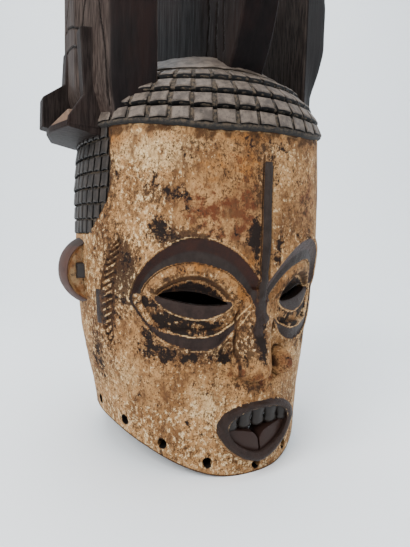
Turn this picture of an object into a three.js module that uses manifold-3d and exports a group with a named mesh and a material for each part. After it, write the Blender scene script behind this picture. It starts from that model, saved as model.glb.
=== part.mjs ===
// Helmet mask with two faces, carved from one block of wood and worn over the whole head.
// Millimetres, +Z up. The front face looks to -Y and the back face to +Y. The origin is on
// the ground, under the middle of the rim.

import * as THREE from 'three';
import { mergeVertices } from 'three/addons/utils/BufferGeometryUtils.js';
import Module from 'manifold-3d';

// Head: half widths side to side, half depths front to back
const RIM_HALF_WIDTH = 91;
const RIM_HALF_DEPTH = 104;
const BROW_HALF_WIDTH = 106.5;
const BROW_HALF_DEPTH = 112;
const CHEEK_HALF_DEPTH = 102;
const CHEEK = 95;
const FOREHEAD = 178;
const HAIRLINE = 254;
const CROWN = 321;
const WALL = 13;
const RIM_LIFT = 26;
const RIM_FLAT_ANGLE = { front: 10, back: 30 };
const MM_PER_DEGREE = 1.8;

// Face: sizes across (mm round the head from the middle of the face), heights and mm proud
const EYE = { across: 51, height: 135, slant: 0.1, halfSlit: 27.5, slitHeight: 8 };
const BROW_RING = { halfWidth: 48, up: 41, down: 38, proud: 3.5 };
const SOCKET = { halfWidth: 41.5, up: 25, down: 30, depth: 6 };
const LIDS = { halfWidth: 33, up: 17, down: 16, proud: 2 };
const RIDGE = { halfWidth: 2.8, foot: 90, top: 231, proud: 3.5 };
const NOSE = { top: 131, wings: 86, base: 74, halfWidth: 18.5, proud: 15 };
const MOUTH = { height: 37.5, halfWidth: 35, halfHeight: 22, lip: 6.5, proud: 11, tilt: 0.05 };
const TOOTH = { pitch: 8.4, upper: 8.5, lower: 11.5, thickness: 7 };

// Hair: a cap of four rows of blocks over each face, and a strip of rows above each ear
const CAP_PROUD = 2.4;
const CAP_ROWS = [256, 267, 278, 289, 300];
const CAP_COLUMNS = 44;
const CAP_GROOVE_ANGLE = 2.2;
const GROOVE = 2;
const GROOVE_HALF_ANGLE = 0.9;
const SHINGLE = 1.2;
const STRIP = { bottom: 179, rows: 7, rowHeight: 11.6, halfAngle: 26, proud: 3 };

// Cord holes round the rim
const HOLES = { count: 16, diameter: 7.5, aboveRim: 8.5 };

// Ears, one at each side, shared by the two faces
const EAR = { height: 150, halfHeight: 28, reach: 22, rim: 5, halfDepth: 11, web: 3, block: 8 };

// Crest: a middle fin that runs from face to face and a horn over each ear. The carver set it
// a little to one side of the faces.
const CREST_SHIFT = 4;
const FIN = { halfWidth: 15, top: 436 };
const HORN = { shoulder: 380, top: 424, swellFrom: 258, swellTo: 290, corner: 0.78, outer: 0.265 };
const HORN_INNER = { left: 70.4, right: 66 };
const HORN_HALF_DEPTH = { left: 70.2, right: 64 };
const HORN_FOOT = { corner: 94, reach: 106 };
const HORN_BODY = { corner: 97.5, reach: 116 };
const HORN_ROUNDING = { corner: 20, reach: 34, depth: 30 };
const LEDGE = { bottom: 256, root: 90, tip: 132, ribTop: 325, halfDepth: 38, tipHalfDepth: 9 };
const LEDGE_CORNER = { left: 122, right: 108 };
const LEDGE_SET_BACK = { left: 0, right: 13 };
const LEDGE_SHELF = { under: 9, taper: 17, thickness: 4.5, wall: 12, wallHigh: 11, wallLow: 2.5 };
const RIB = { inner: 110, outer: 112, thickness: 13, shoulder: 23, backShoulder: 42, backTip: 30 };

const wasm = await Module();
wasm.setup();

const degrees = THREE.MathUtils.degToRad;
const clamp = THREE.MathUtils.clamp;
const smooth = THREE.MathUtils.smoothstep;
const lerp = THREE.MathUtils.lerp;

// Closed skin over rings of points with as many points each. A last ring of one point is a
// pole, and any other end is closed by a flat face.
function skin(rings) {
  const points = [];
  const faces = [];
  const starts = [];
  for (const ring of rings) {
    starts.push(points.length);
    points.push(...ring);
  }
  for (let i = 0; i + 1 < rings.length; i += 1) {
    const count = Math.max(rings[i].length, rings[i + 1].length);
    for (let j = 0; j < count; j += 1) {
      const next = (j + 1) % count;
      const low = starts[i] + (rings[i].length === 1 ? 0 : j);
      const lowNext = starts[i] + (rings[i].length === 1 ? 0 : next);
      const high = starts[i + 1] + (rings[i + 1].length === 1 ? 0 : j);
      const highNext = starts[i + 1] + (rings[i + 1].length === 1 ? 0 : next);
      if (low !== lowNext) faces.push([low, lowNext, highNext]);
      if (high !== highNext) faces.push([low, highNext, high]);
    }
  }
  const close = (ring, start, flip) => {
    if (ring.length === 1) return;
    const flat = ring.map((p) => new THREE.Vector2(p.x, p.y));
    const back = flip !== THREE.ShapeUtils.isClockWise(flat);
    for (const [a, b, c] of THREE.ShapeUtils.triangulateShape(flat, [])) {
      faces.push(back ? [start + a, start + c, start + b] : [start + a, start + b, start + c]);
    }
  };
  close(rings[0], starts[0], true);
  close(rings.at(-1), starts.at(-1), false);
  return solid(points, faces);
}

// Solid from points and faces, turned the right way out
function solid(points, faces) {
  const volume = faces.reduce((sum, [a, b, c]) => (
    sum + points[a].dot(points[b].clone().cross(points[c]))), 0);
  const outward = volume > 0 ? faces : faces.map(([a, b, c]) => [a, c, b]);
  const vertProperties = new Float32Array(points.flatMap((p) => [p.x, p.y, p.z]));
  const triVerts = new Uint32Array(outward.flat());
  return new wasm.Manifold(new wasm.Mesh({ numProp: 3, vertProperties, triVerts }));
}

function join(pieces) {
  return pieces.reduce((whole, piece) => whole.add(piece));
}

function cut(whole, pieces) {
  return pieces.reduce((rest, piece) => rest.subtract(piece), whole);
}

// Solid from a geometry class, placed by a matrix
function placed(geometry, matrix) {
  const bare = geometry.clone();
  bare.deleteAttribute('normal');
  bare.deleteAttribute('uv');
  const merged = mergeVertices(bare, 1e-4);
  merged.applyMatrix4(matrix);
  const vertProperties = new Float32Array(merged.attributes.position.array);
  const triVerts = new Uint32Array(merged.index.array);
  return new wasm.Manifold(new wasm.Mesh({ numProp: 3, vertProperties, triVerts }));
}

// Slab: an outline of [x, z] points, standing in the XZ plane from y = from to y = to
function slab(outline, from, to) {
  const shape = new THREE.Shape(outline.map(([x, z]) => new THREE.Vector2(x, z)));
  const geometry = new THREE.ExtrudeGeometry(shape, { depth: to - from, bevelEnabled: false });
  const matrix = new THREE.Matrix4().makeRotationX(Math.PI / 2).setPosition(0, to, 0);
  return placed(geometry, matrix);
}

// Bare head. Angles are in degrees round the head from the middle of the front face.

function halfWidth(z) {
  const t = clamp(z / HAIRLINE, 0, 1);
  return lerp(RIM_HALF_WIDTH, BROW_HALF_WIDTH, t ** 0.85);
}

function halfDepth(z) {
  const belly = lerp(RIM_HALF_DEPTH, CHEEK_HALF_DEPTH, clamp(z / CHEEK, 0, 1));
  return lerp(belly, BROW_HALF_DEPTH, smooth(z, CHEEK, FOREHEAD));
}

// Share of the hairline's size at a height on the dome
function domeShare(z) {
  const t = clamp((z - HAIRLINE) / (CROWN - HAIRLINE), 0, 1);
  return Math.sqrt(1 - t * t);
}

function onHead(angle, z, proud) {
  const share = domeShare(z);
  const x = (halfWidth(z) + proud) * share * Math.sin(degrees(angle));
  const y = -(halfDepth(z) + proud) * share * Math.cos(degrees(angle));
  return new THREE.Vector3(x, y, z);
}

// The rim stands on an arc under each face and rises towards the ears
function rimHeight(angle) {
  const flatAngle = Math.cos(degrees(angle)) > 0 ? RIM_FLAT_ANGLE.front : RIM_FLAT_ANGLE.back;
  const flat = Math.sin(degrees(flatAngle));
  const t = (Math.abs(Math.sin(degrees(angle))) - flat) / (1 - flat);
  return RIM_LIFT * clamp(t, 0, 1) ** 1.3;
}

// Point of a face: mm across from its middle, height, and mm proud of the bare head
function onFace(face, across, z, proud) {
  return onHead(face + across / MM_PER_DEGREE, z, proud);
}

// Point of an eye on an almond outline, where t runs round it and scale draws it in
function onAlmond(face, side, shape, t, scale, proud) {
  const c = Math.cos(t);
  const s = Math.sin(t);
  const across = scale * shape.halfWidth * Math.sign(c) * Math.abs(c) ** 1.25;
  const up = scale * (s > 0 ? shape.up : shape.down) * Math.sign(s) * Math.abs(s) ** 1.25;
  const z = EYE.height + up + EYE.slant * across;
  return onFace(face, side * (EYE.across + across), z, proud);
}

const ALMOND_POINTS = 18;

function around(count, make) {
  return Array.from({ length: count }, (_, i) => make((i / count) * 2 * Math.PI));
}

// Skin over rings of an almond that end in a pole at the back and another in front
function almondPad(face, side, back, rings, front) {
  const pole = (proud) => [onAlmond(face, side, BROW_RING, 0, 0, proud)];
  return skin([pole(back), ...rings.map(([shape, scale, proud]) => (
    around(ALMOND_POINTS, (t) => onAlmond(face, side, shape, t, scale, proud)))), pole(front)]);
}

function browPad(face, side) {
  const { proud } = BROW_RING;
  return almondPad(face, side, -8, [[BROW_RING, 1.01, -2], [BROW_RING, 0.97, proud]], proud);
}

function socket(face, side) {
  const { depth } = SOCKET;
  return almondPad(face, side, -depth, [[SOCKET, 0.96, -depth], [SOCKET, 1.02, 9]], 20);
}

function lids(face, side) {
  const { proud } = LIDS;
  return almondPad(face, side, -SOCKET.depth - 8,
    [[LIDS, 1.03, -SOCKET.depth - 6], [LIDS, 0.74, proud - 2]], proud);
}

// Ridge down the forehead to the root of the nose
function ridge(face) {
  const { halfWidth: half, proud, foot, top } = RIDGE;
  const level = (z, high) => [[-half - 1, -3], [-half, high], [half, high], [half + 1, -3], [0, -6]]
    .map(([across, out]) => onFace(face, across, z, out));
  return skin([level(foot, proud), level(NOSE.top, proud), level(FOREHEAD, proud),
    level(top - 3, proud), level(top, proud - 1.5)]);
}

function nose(face) {
  const { top, wings, base, halfWidth: wide, proud } = NOSE;
  const levels = [[top + 2, 4, 2], [117, 7, 5], [101, 12, 10], [wings, wide, proud - 1.5],
    [wings - 6, 0.94 * wide, proud], [base, 0.6 * wide, 0.5 * proud]];
  return skin(levels.map(([z, half, out]) => [
    ...[-1, -0.8, -0.35, 0.35, 0.8, 1].map((t) => (
      onFace(face, t * half, z, out * (1 - Math.abs(t) ** 2.4) ** 0.8))),
    onFace(face, half, z, -7), onFace(face, -half, z, -7)]));
}

const MOUTH_POINTS = 16;

// Lips: a rolled band round the mouth, on a low mound, standing out most at the top
function onMouth(face, t, scale, proud) {
  const up = scale * MOUTH.halfHeight * Math.sin(t);
  const out = proud + (proud > 0 ? MOUTH.tilt * up : 0);
  return onFace(face, scale * MOUTH.halfWidth * Math.cos(t), MOUTH.height + up, out);
}

function lips(face) {
  const ring = (scale, proud) => around(MOUTH_POINTS, (t) => onMouth(face, t, scale, proud));
  const { proud } = MOUTH;
  return skin([[onMouth(face, 0, 0, -8)], ring(1.02, -4), ring(1, proud - 3), ring(0.88, proud),
    ring(0.7, proud - 1.5), [onMouth(face, 0, 0, proud - 2)]]);
}

function mouthMound(face) {
  const ring = (scale, proud) => around(MOUTH_POINTS, (t) => onMouth(face, t, scale, proud));
  return skin([[onMouth(face, 0, 0, -8)], ring(1.25, -2), ring(1.05, MOUTH.proud - 6),
    [onMouth(face, 0, 0, MOUTH.proud - 6)]]);
}

// Heights of the head's facets
const HEAD_COLUMNS = 40;
const FACE_HEIGHTS = [0, 30, 62, 98, 140, 182, 220, 254];
const DOME_HEIGHTS = [273, 291, 306, 316];
const CAVITY_HEIGHTS = [-6, 90, 180, 254, 280, 298];
const CAVITY_COLUMNS = 24;
const RIM_BLEND = 60;

function headBlock() {
  const angles = Array.from({ length: HEAD_COLUMNS }, (_, i) => (i * 360) / HEAD_COLUMNS);
  const rings = [...FACE_HEIGHTS, ...DOME_HEIGHTS].map((height) => angles.map((angle) => (
    onHead(angle, height + rimHeight(angle) * clamp(1 - height / RIM_BLEND, 0, 1), 0))));
  const underRim = rings[0].map((p) => new THREE.Vector3(0.6 * p.x, 0.6 * p.y, p.z));
  return skin([[new THREE.Vector3(0, 0, RIM_LIFT)], underRim, ...rings,
    [new THREE.Vector3(0, 0, CROWN)]]);
}

// Hollow for the wearer's head, open below
function hollow() {
  const angles = Array.from({ length: CAVITY_COLUMNS }, (_, i) => (i * 360) / CAVITY_COLUMNS);
  const dome = CROWN - WALL - HAIRLINE;
  const rings = CAVITY_HEIGHTS.map((z) => {
    const share = Math.sqrt(1 - clamp((z - HAIRLINE) / dome, 0, 1) ** 2);
    return angles.map((angle) => new THREE.Vector3(
      (halfWidth(z) - WALL) * share * Math.sin(degrees(angle)),
      -(halfDepth(z) - WALL) * share * Math.cos(degrees(angle)), z));
  });
  return skin([...rings, [new THREE.Vector3(0, 0, HAIRLINE + dome)]]);
}

// Hair cap: rows of blocks that lap over each other like shingles, parted by upright grooves
function hairCap() {
  const pitch = 360 / CAP_COLUMNS;
  const columns = [];
  for (let i = 0; i < CAP_COLUMNS; i += 1) {
    const groove = CAP_GROOVE_ANGLE + i * pitch;
    columns.push([groove - GROOVE_HALF_ANGLE, 0], [groove, -GROOVE], [groove + GROOVE_HALF_ANGLE, 0]);
  }
  const ring = (z, proud, cut) => columns.map(([angle, depth]) => onHead(angle, z, proud + cut * depth));
  const rings = [];
  for (let row = 0; row + 1 < CAP_ROWS.length; row += 1) {
    rings.push(ring(CAP_ROWS[row], CAP_PROUD + SHINGLE, 1));
    rings.push(ring(CAP_ROWS[row + 1], CAP_PROUD, 1));
  }
  const inside = [HAIRLINE + 8, CAP_ROWS.at(-1) - 6].map((z) => [new THREE.Vector3(0, 0, z)]);
  return skin([inside[0], ...rings, inside[1]]);
}

// Strip of hair rows between the cap and the ear, drawn in towards the ear
function hairStrip(middle) {
  const rings = [];
  for (let row = 0; row < STRIP.rows; row += 1) {
    for (const [share, proud] of [[0, STRIP.proud + SHINGLE], [1, STRIP.proud]]) {
      const z = STRIP.bottom + (row + share) * STRIP.rowHeight;
      const reach = STRIP.halfAngle * lerp(0.45, 1, smooth(z, STRIP.bottom, STRIP.bottom + 25));
      const outer = [-1, -0.33, 0.33, 1];
      rings.push([
        ...outer.map((t) => onHead(middle + t * reach, z, proud)),
        ...[0.9, -0.9].map((t) => onHead(middle + t * reach, z, -7)),
      ]);
    }
  }
  return skin(rings);
}

// Ear: a C-shaped flange round a thin web, with a block for the middle of the ear
function ear(side) {
  const root = halfWidth(EAR.height) - 4;
  const rings = [];
  const across = EAR.reach + 4 - EAR.rim;
  const high = EAR.halfHeight - EAR.rim;
  const turn = (t) => new THREE.Vector3(root + across * Math.cos(t), 0, EAR.height + high * Math.sin(t));
  for (let i = 0; i <= 7; i += 1) {
    const t = degrees(lerp(-105, 105, i / 7));
    rings.push(Array.from({ length: 6 }, (_, j) => {
      const around = degrees(j * 60);
      const out = EAR.rim * Math.cos(around);
      const y = EAR.halfDepth * Math.sin(around);
      return turn(t).add(new THREE.Vector3(out * Math.cos(t), y, out * Math.sin(t)));
    }));
  }
  const inside = new THREE.Vector3(-6, 0, 0);
  const ends = [[turn(degrees(-105)).add(inside)], [turn(degrees(105)).add(inside)]];
  const tube = skin([ends[0], ...rings, ends[1]].map((ring) => ring.map((p) => {
    p.x *= side;
    return p;
  })));
  const webOutline = Array.from({ length: 7 }, (_, i) => {
    const p = turn(degrees(lerp(-90, 90, i / 6)));
    return [side * p.x, p.z];
  });
  const web = slab(webOutline, -EAR.web, EAR.web);
  const block = slab([[-6, -8], [13, -6], [13, 6], [-6, 8]].map(([x, z]) => [side * (root + x),
    EAR.height + z]), -EAR.block, EAR.block);
  return tube.add(web).add(block);
}

// Middle fin of the crest, from over one face to over the other
function fin() {
  const front = [[82, 296], [84, 304], [91, 316], [97, 330], [102, 346], [105, 366], [104, 388],
    [97, 408], [82, 423], [56, 432], [20, FIN.top]];
  const outline = [...front.map(([y, z]) => [-y, z]), ...front.slice().reverse()];
  const turned = new THREE.Matrix4().makeRotationZ(Math.PI / 2);
  return slab(outline, -FIN.halfWidth, FIN.halfWidth).transform(turned.elements)
    .translate(CREST_SHIFT, 0, 0);
}

// Horn of the crest over an ear: six sides in plan, swelling outwards and rounded on top
function horn(side) {
  const name = side > 0 ? 'right' : 'left';
  const { shoulder, top, swellFrom, swellTo } = HORN;
  const heights = [swellFrom, 272, swellTo, 336, shoulder, 397, 409, 418, top];
  return skin(heights.map((z) => {
    const t = clamp((z - shoulder) / (top + 6 - shoulder), 0, 1);
    const round = 1 - Math.sqrt(1 - t * t);
    const swell = smooth(z, swellFrom, swellTo);
    const reach = lerp(HORN_FOOT.reach, HORN_BODY.reach, swell) - HORN_ROUNDING.reach * round;
    const corner = lerp(HORN_FOOT.corner, HORN_BODY.corner, swell) - HORN_ROUNDING.corner * round;
    const depth = HORN_HALF_DEPTH[name] - HORN_ROUNDING.depth * round;
    const front = [[HORN_INNER[name], depth], [corner, HORN.corner * depth], [reach, HORN.outer * depth]];
    const plan = [...front.map(([x, y]) => [x, -y]), ...front.slice().reverse()];
    return plan.map(([x, y]) => new THREE.Vector3(side * x + CREST_SHIFT, y, z));
  }));
}

// Ledge at the foot of a horn: an upright rib in front, a trough behind it and a rib at the back
function ledge(side) {
  const name = side > 0 ? 'right' : 'left';
  const corner = LEDGE_CORNER[name];
  const setBack = LEDGE_SET_BACK[name];
  const { bottom, tip, ribTop, root, halfDepth: half, tipHalfDepth: tipHalf } = LEDGE;
  const { under, taper, thickness, wall: wallWidth, wallHigh, wallLow } = LEDGE_SHELF;
  const rib = (outline, from) => slab(outline.map(([x, z]) => [side * x, z]), from, from + RIB.thickness);
  const front = rib([[root, bottom], [corner, bottom + 1], [corner - 1, bottom + 10],
    [RIB.inner, bottom + RIB.shoulder], [RIB.outer, ribTop], [root, ribTop + 3]], setBack - half);
  const back = rib([[root, bottom], [tip, bottom + 1], [tip - 1, bottom + RIB.backTip],
    [RIB.outer + 2, bottom + RIB.backShoulder], [RIB.outer, ribTop], [root, ribTop + 3]], tipHalf);
  const plan = [[root, -half], [corner, setBack - half], [tip, -tipHalf], [tip, tipHalf],
    [corner, half], [root, half]];
  const level = (z, inset) => plan.map(([x, y]) => (
    new THREE.Vector3(side * (x - (x > root ? inset : 0)), y, z)));
  const floor = skin([level(bottom - under, taper), level(bottom, 0), level(bottom + thickness, 0)]);
  const wallPlan = [[corner - wallWidth, setBack - half + 1, wallHigh], [corner, setBack - half, wallHigh],
    [tip, -tipHalf, wallLow], [tip - wallWidth, -tipHalf, wallLow]];
  const wall = skin([0, 1].map((share) => wallPlan.map(([x, y, high]) => (
    new THREE.Vector3(side * x, y, bottom + 1 + share * high)))));
  return join([front, back, floor, wall]);
}

// Eye slit: a lens cut straight in through the wall
function eyeSlit(face, side) {
  const half = EYE.halfSlit;
  const outline = around(10, (t) => {
    const x = half * Math.cos(t);
    return [x, EYE.height + EYE.slant * side * x + (EYE.slitHeight / 2) * Math.sin(t)];
  });
  const angle = face + side * (EYE.across / MM_PER_DEGREE);
  return slab(outline, -140, -70).transform(new THREE.Matrix4().makeRotationZ(degrees(angle)).elements);
}

// Open mouth of one face, and the teeth that are left standing in it
function mouthOpening() {
  const wide = MOUTH.halfWidth - MOUTH.lip;
  const high = MOUTH.halfHeight - MOUTH.lip;
  const outline = around(MOUTH_POINTS, (t) => [wide * Math.cos(t), MOUTH.height + high * Math.sin(t)]);
  return slab(outline, -140, -70);
}

function teeth() {
  const top = MOUTH.height + MOUTH.halfHeight - MOUTH.lip + 1;
  const bottom = MOUTH.height - MOUTH.halfHeight + MOUTH.lip - 1;
  const all = [];
  for (let i = -2; i <= 2; i += 1) {
    const x = i * TOOTH.pitch;
    const tip = top - TOOTH.upper - Math.abs(i) * 1.5;
    const up = top + 3 - Math.abs(i) * 1.5;
    all.push([[x - 3.6, up], [x - 2.2, tip], [x + 2.2, tip], [x + 3.6, up]]);
  }
  for (const side of [-1, 1]) {
    all.push([[1, -3], [2, 8], [6, TOOTH.lower], [12, TOOTH.lower - 1], [17, 8], [20, 2]]
      .map(([x, z]) => [side * x, bottom + z]));
  }
  const y = -(halfDepth(MOUTH.height) + 3);
  return all.map((outline) => slab(outline, y, y + TOOTH.thickness)).reduce((a, b) => a.add(b));
}

function cordHole(angle) {
  const z = rimHeight(angle) + HOLES.aboveRim;
  const matrix = new THREE.Matrix4().makeRotationZ(degrees(angle));
  matrix.setPosition(onHead(angle, z, -WALL / 2));
  return placed(new THREE.CylinderGeometry(HOLES.diameter / 2, HOLES.diameter / 2, 5 * WALL, 6), matrix);
}

const halfTurn = new THREE.Matrix4().makeRotationZ(Math.PI).elements;
const sides = [-1, 1];
const faces = [0, 180];
const eyes = faces.flatMap((face) => sides.map((side) => [face, side]));

const pads = eyes.map((eye) => browPad(...eye));
const head = cut(join([headBlock(), ...pads]), eyes.map((eye) => socket(...eye)));
const raised = [...eyes.map((eye) => lids(...eye)),
  ...faces.map(ridge), ...faces.map(nose), ...faces.map(mouthMound), ...faces.map(lips)];
const attached = [hairCap(), fin(), ...sides.map(horn), ...sides.map(ledge), ...sides.map(ear),
  hairStrip(90), hairStrip(270)];
const holes = Array.from({ length: HOLES.count }, (_, i) => cordHole((i * 360) / HOLES.count));
const openings = [hollow(), mouthOpening(), mouthOpening().transform(halfTurn),
  ...eyes.map((eye) => eyeSlit(...eye)), ...holes];
const carved = cut(join([head, ...raised, ...attached]), openings);
const mask = join([carved, teeth(), teeth().transform(halfTurn)]);

function named(name, body, material) {
  const mesh = body.getMesh();
  const geometry = new THREE.BufferGeometry();
  geometry.setAttribute('position', new THREE.BufferAttribute(mesh.vertProperties, 3));
  geometry.setIndex(new THREE.BufferAttribute(mesh.triVerts, 1));
  const node = new THREE.Mesh(geometry, material);
  node.name = name;
  return node;
}

const wood = new THREE.MeshStandardMaterial({ color: 0x8a7355, roughness: 0.8, metalness: 0 });
const object = new THREE.Group();
object.add(named('helmet_mask', mask, wood));
export default object;
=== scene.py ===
# Helmet mask with two faces, carved from one block of wood, painted, worn and dusty.
# Lengths are millimetres, which new_mesh turns into metres. Only the camera and the lights are
# placed in metres. Angles on the head are degrees round it from the middle of a face.
from math import pi, radians

import bpy
import numpy as np
from mathutils import Matrix, Vector


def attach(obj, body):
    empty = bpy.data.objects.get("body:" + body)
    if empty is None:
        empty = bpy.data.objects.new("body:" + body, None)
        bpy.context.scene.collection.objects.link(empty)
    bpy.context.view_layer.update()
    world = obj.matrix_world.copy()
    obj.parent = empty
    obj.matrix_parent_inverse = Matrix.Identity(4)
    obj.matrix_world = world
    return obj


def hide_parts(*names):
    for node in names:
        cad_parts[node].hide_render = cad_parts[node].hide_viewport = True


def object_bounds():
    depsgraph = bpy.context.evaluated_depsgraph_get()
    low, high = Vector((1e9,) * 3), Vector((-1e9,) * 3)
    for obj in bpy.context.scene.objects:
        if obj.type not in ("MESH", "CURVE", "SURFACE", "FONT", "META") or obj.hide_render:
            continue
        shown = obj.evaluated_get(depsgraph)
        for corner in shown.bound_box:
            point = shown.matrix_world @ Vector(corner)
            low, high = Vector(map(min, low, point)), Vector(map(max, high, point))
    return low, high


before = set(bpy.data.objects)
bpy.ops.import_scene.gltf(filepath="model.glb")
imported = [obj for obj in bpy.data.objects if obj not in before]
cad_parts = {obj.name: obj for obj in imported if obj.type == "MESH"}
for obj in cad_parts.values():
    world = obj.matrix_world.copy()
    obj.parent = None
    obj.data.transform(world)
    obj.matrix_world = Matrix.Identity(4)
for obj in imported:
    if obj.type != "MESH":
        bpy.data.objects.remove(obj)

cad_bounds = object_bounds()
cad_low, cad_high = (np.array(corner) * 1000 for corner in cad_bounds)

# Camera: close to the mask, a little to its right hand and at the height of its brow, so the
# crest runs out of the top of the picture.
camera_data = bpy.data.cameras.new("camera")
camera_data.lens = 28.3
camera = bpy.data.objects.new("camera", camera_data)
camera.location = (-0.1841, -0.3595, 0.185)
camera.rotation_euler = (radians(84.02), radians(-0.86), radians(-28.41))
bpy.context.collection.objects.link(camera)
bpy.context.scene.camera = camera

# Room: a pale table top that curves up into a pale wall. A wide window on the left and the
# ceiling light it softly, and weaker lights fill it from the front and the right.
FLOOR_NEAR, WALL_TOP, ROOM_BEND, ROOM_HALF_WIDTH, ROOM_TURN = -1500, 2600, 700, 2400, -27
LIT_POINT = Vector((0, 0, 0.2))


def colour(red, green, blue):
    """Linear colour from the 0 to 255 numbers of a colour picker."""
    srgb = np.array([red, green, blue]) / 255
    linear = np.where(srgb < 0.04045, srgb / 12.92, ((srgb + 0.055) / 1.055) ** 2.4)
    return (*linear.tolist(), 1)


def quads(rows, columns, closed=False):
    """Faces of a net of points kept row by row. A closed net joins the two ends of each row."""
    return [[i * columns + j, i * columns + (j + 1) % columns,
             (i + 1) * columns + (j + 1) % columns, (i + 1) * columns + j]
            for i in range(rows - 1) for j in range(columns if closed else columns - 1)]


def new_mesh(name, points, faces, material, smooth_below=35):
    """Piece from points in millimetres. Edges sharper than smooth_below degrees stay crisp."""
    mesh = bpy.data.meshes.new(name)
    mesh.from_pydata((np.asarray(points) / 1000).tolist(), [], faces)
    mesh.materials.append(material)
    mesh.shade_smooth()
    mesh.set_sharp_from_angle(angle=radians(smooth_below))
    piece = bpy.data.objects.new(name, mesh)
    bpy.context.collection.objects.link(piece)
    return piece


def add_node(tree, kind, inputs=(), **settings):
    """Node with its settings and inputs, where an input is a value or another node's output."""
    node = tree.nodes.new(kind)
    for name, value in settings.items():
        setattr(node, name, value)
    for socket, value in dict(inputs).items():
        if isinstance(value, bpy.types.NodeSocket):
            tree.links.new(value, node.inputs[socket])
        else:
            node.inputs[socket].default_value = value
    return node


def new_material(name, roughness, shine=0.5):
    """Material with its tree and shader."""
    material = bpy.data.materials.new(name)
    material.use_nodes = True
    shader = material.node_tree.nodes["Principled BSDF"]
    shader.inputs["Roughness"].default_value = roughness
    shader.inputs["Specular IOR Level"].default_value = shine
    return material, material.node_tree, shader


def plain_material(name, base, roughness, shine=0.5):
    material, _, shader = new_material(name, roughness, shine)
    shader.inputs["Base Color"].default_value = base
    return material


def area_light(name, place, size, power, tint):
    """Soft light that faces the mask."""
    data = bpy.data.lights.new(name, "AREA")
    data.shape = "RECTANGLE"
    data.size, data.size_y = size
    data.energy = power
    data.color = tint
    light = bpy.data.objects.new(name, data)
    light.location = place
    light.rotation_euler = (LIT_POINT - Vector(place)).to_track_quat("-Z", "Y").to_euler()
    bpy.context.collection.objects.link(light)


sweep = np.linspace(0, pi / 2, 24)
wall_profile = ([(FLOOR_NEAR, 0), (ROOM_BEND, 0)]
                + [(ROOM_BEND + ROOM_BEND * np.sin(t), ROOM_BEND - ROOM_BEND * np.cos(t)) for t in sweep]
                + [(2 * ROOM_BEND, WALL_TOP)])
room_turn = Matrix.Rotation(radians(ROOM_TURN), 3, "Z")
room_points = [room_turn @ Vector((x, y, z))
               for y, z in wall_profile for x in (-ROOM_HALF_WIDTH, ROOM_HALF_WIDTH)]
room = new_mesh("room", room_points, quads(len(wall_profile), 2),
                plain_material("pale table", colour(246, 250, 253), 0.7), 180)

area_light("window", (-1.4, -0.6, 1.35), (1.2, 1.2), 48, (1, 0.98, 0.96))
area_light("front fill", (0.2, -1.6, 1.1), (1.2, 0.8), 11, (0.98, 0.99, 1))
area_light("right fill", (1.3, -0.7, 0.9), (1.2, 0.8), 9, (0.98, 0.99, 1))
area_light("ceiling", (0.1, 0.3, 1.9), (1.8, 1.8), 30, (0.97, 0.99, 1))
world = bpy.data.worlds.new("daylight")
world.use_nodes = True
daylight = world.node_tree.nodes["Background"]
daylight.inputs["Color"].default_value = colour(222, 232, 240)
daylight.inputs["Strength"].default_value = 0.7
bpy.context.scene.world = world

# Head: a barrel of wood with a face on the front and another on the back, hollow inside. The
# faces are carved in low relief and painted with pale clay, which has flaked off in places.
HALF_WIDTH = {"z": [0, 30, 50, 65, 80, 100, 120, 150, 190, 215, 240, 254],
              "mm": [87, 90, 93, 96.6, 100, 103.2, 105, 106, 107, 107, 105.2, 103.8]}
RIM_HALF_DEPTH, CHEEK_HALF_DEPTH, BROW_HALF_DEPTH, MEAN_RADIUS = 104, 102, 112, 105
ABOVE_MOUTH, CHEEK, FOREHEAD, HAIRLINE, CROWN = 60, 95, 178, 254, 321
WALL = 13
RIM_LIFT, RIM_POWER = 29, 1.9
RIM_FLAT_FRONT, RIM_FLAT_BACK = 0.17, 0.5
HAIR_LIFT, HAIR_TILT, HAIR_DROP = 8.5, 3.2, 2.5


def smooth(values, low, high):
    """0 up to a low value and 1 from a high one, with a smooth rise between them."""
    t = np.clip((values - low) / (high - low), 0, 1)
    return t * t * (3 - 2 * t)


def span(values, start, full, fading, end):
    """0 up to a start, 1 from full to fading and 0 again from an end."""
    return smooth(values, start, full) * (1 - smooth(values, fading, end))


def line(values, middle, width):
    """1 where the values meet the middle, fading out on both sides of it."""
    return np.exp(-((values - middle) / width) ** 2)


def half_width(z):
    return np.interp(z, HALF_WIDTH["z"], HALF_WIDTH["mm"])


def half_depth(z):
    belly = RIM_HALF_DEPTH + (CHEEK_HALF_DEPTH - RIM_HALF_DEPTH) * np.clip(z / CHEEK, 0, 1)
    return belly + (BROW_HALF_DEPTH - belly) * smooth(z, CHEEK, FOREHEAD)


def on_head(angle, z, proud=0.0):
    """Points so many millimetres proud of the bare head."""
    share = np.sqrt(1 - np.clip((z - HAIRLINE) / (CROWN - HAIRLINE), 0, 1) ** 2)
    turn = np.radians(angle)
    return np.stack(np.broadcast_arrays((half_width(z) + proud) * share * np.sin(turn),
                                        -(half_depth(z) + proud) * share * np.cos(turn), z), -1)


def rim_height(angle, lift=RIM_LIFT, power=RIM_POWER):
    """The rim rests on a flat stretch under each face and rises in an arc towards the ears."""
    flat = np.where(np.cos(np.radians(angle)) > 0, RIM_FLAT_FRONT, RIM_FLAT_BACK)
    lifted = (np.abs(np.sin(np.radians(angle))) - flat) / (1 - flat)
    return lift * np.clip(lifted, 0, 1) ** power


def hair_lift(angle):
    """The hair starts higher above the ears than above the faces, and highest on the right."""
    across = np.sin(np.radians(angle))
    return HAIR_LIFT * smooth(np.abs(across), 0.3, 0.95) + HAIR_TILT * across - HAIR_DROP


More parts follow.
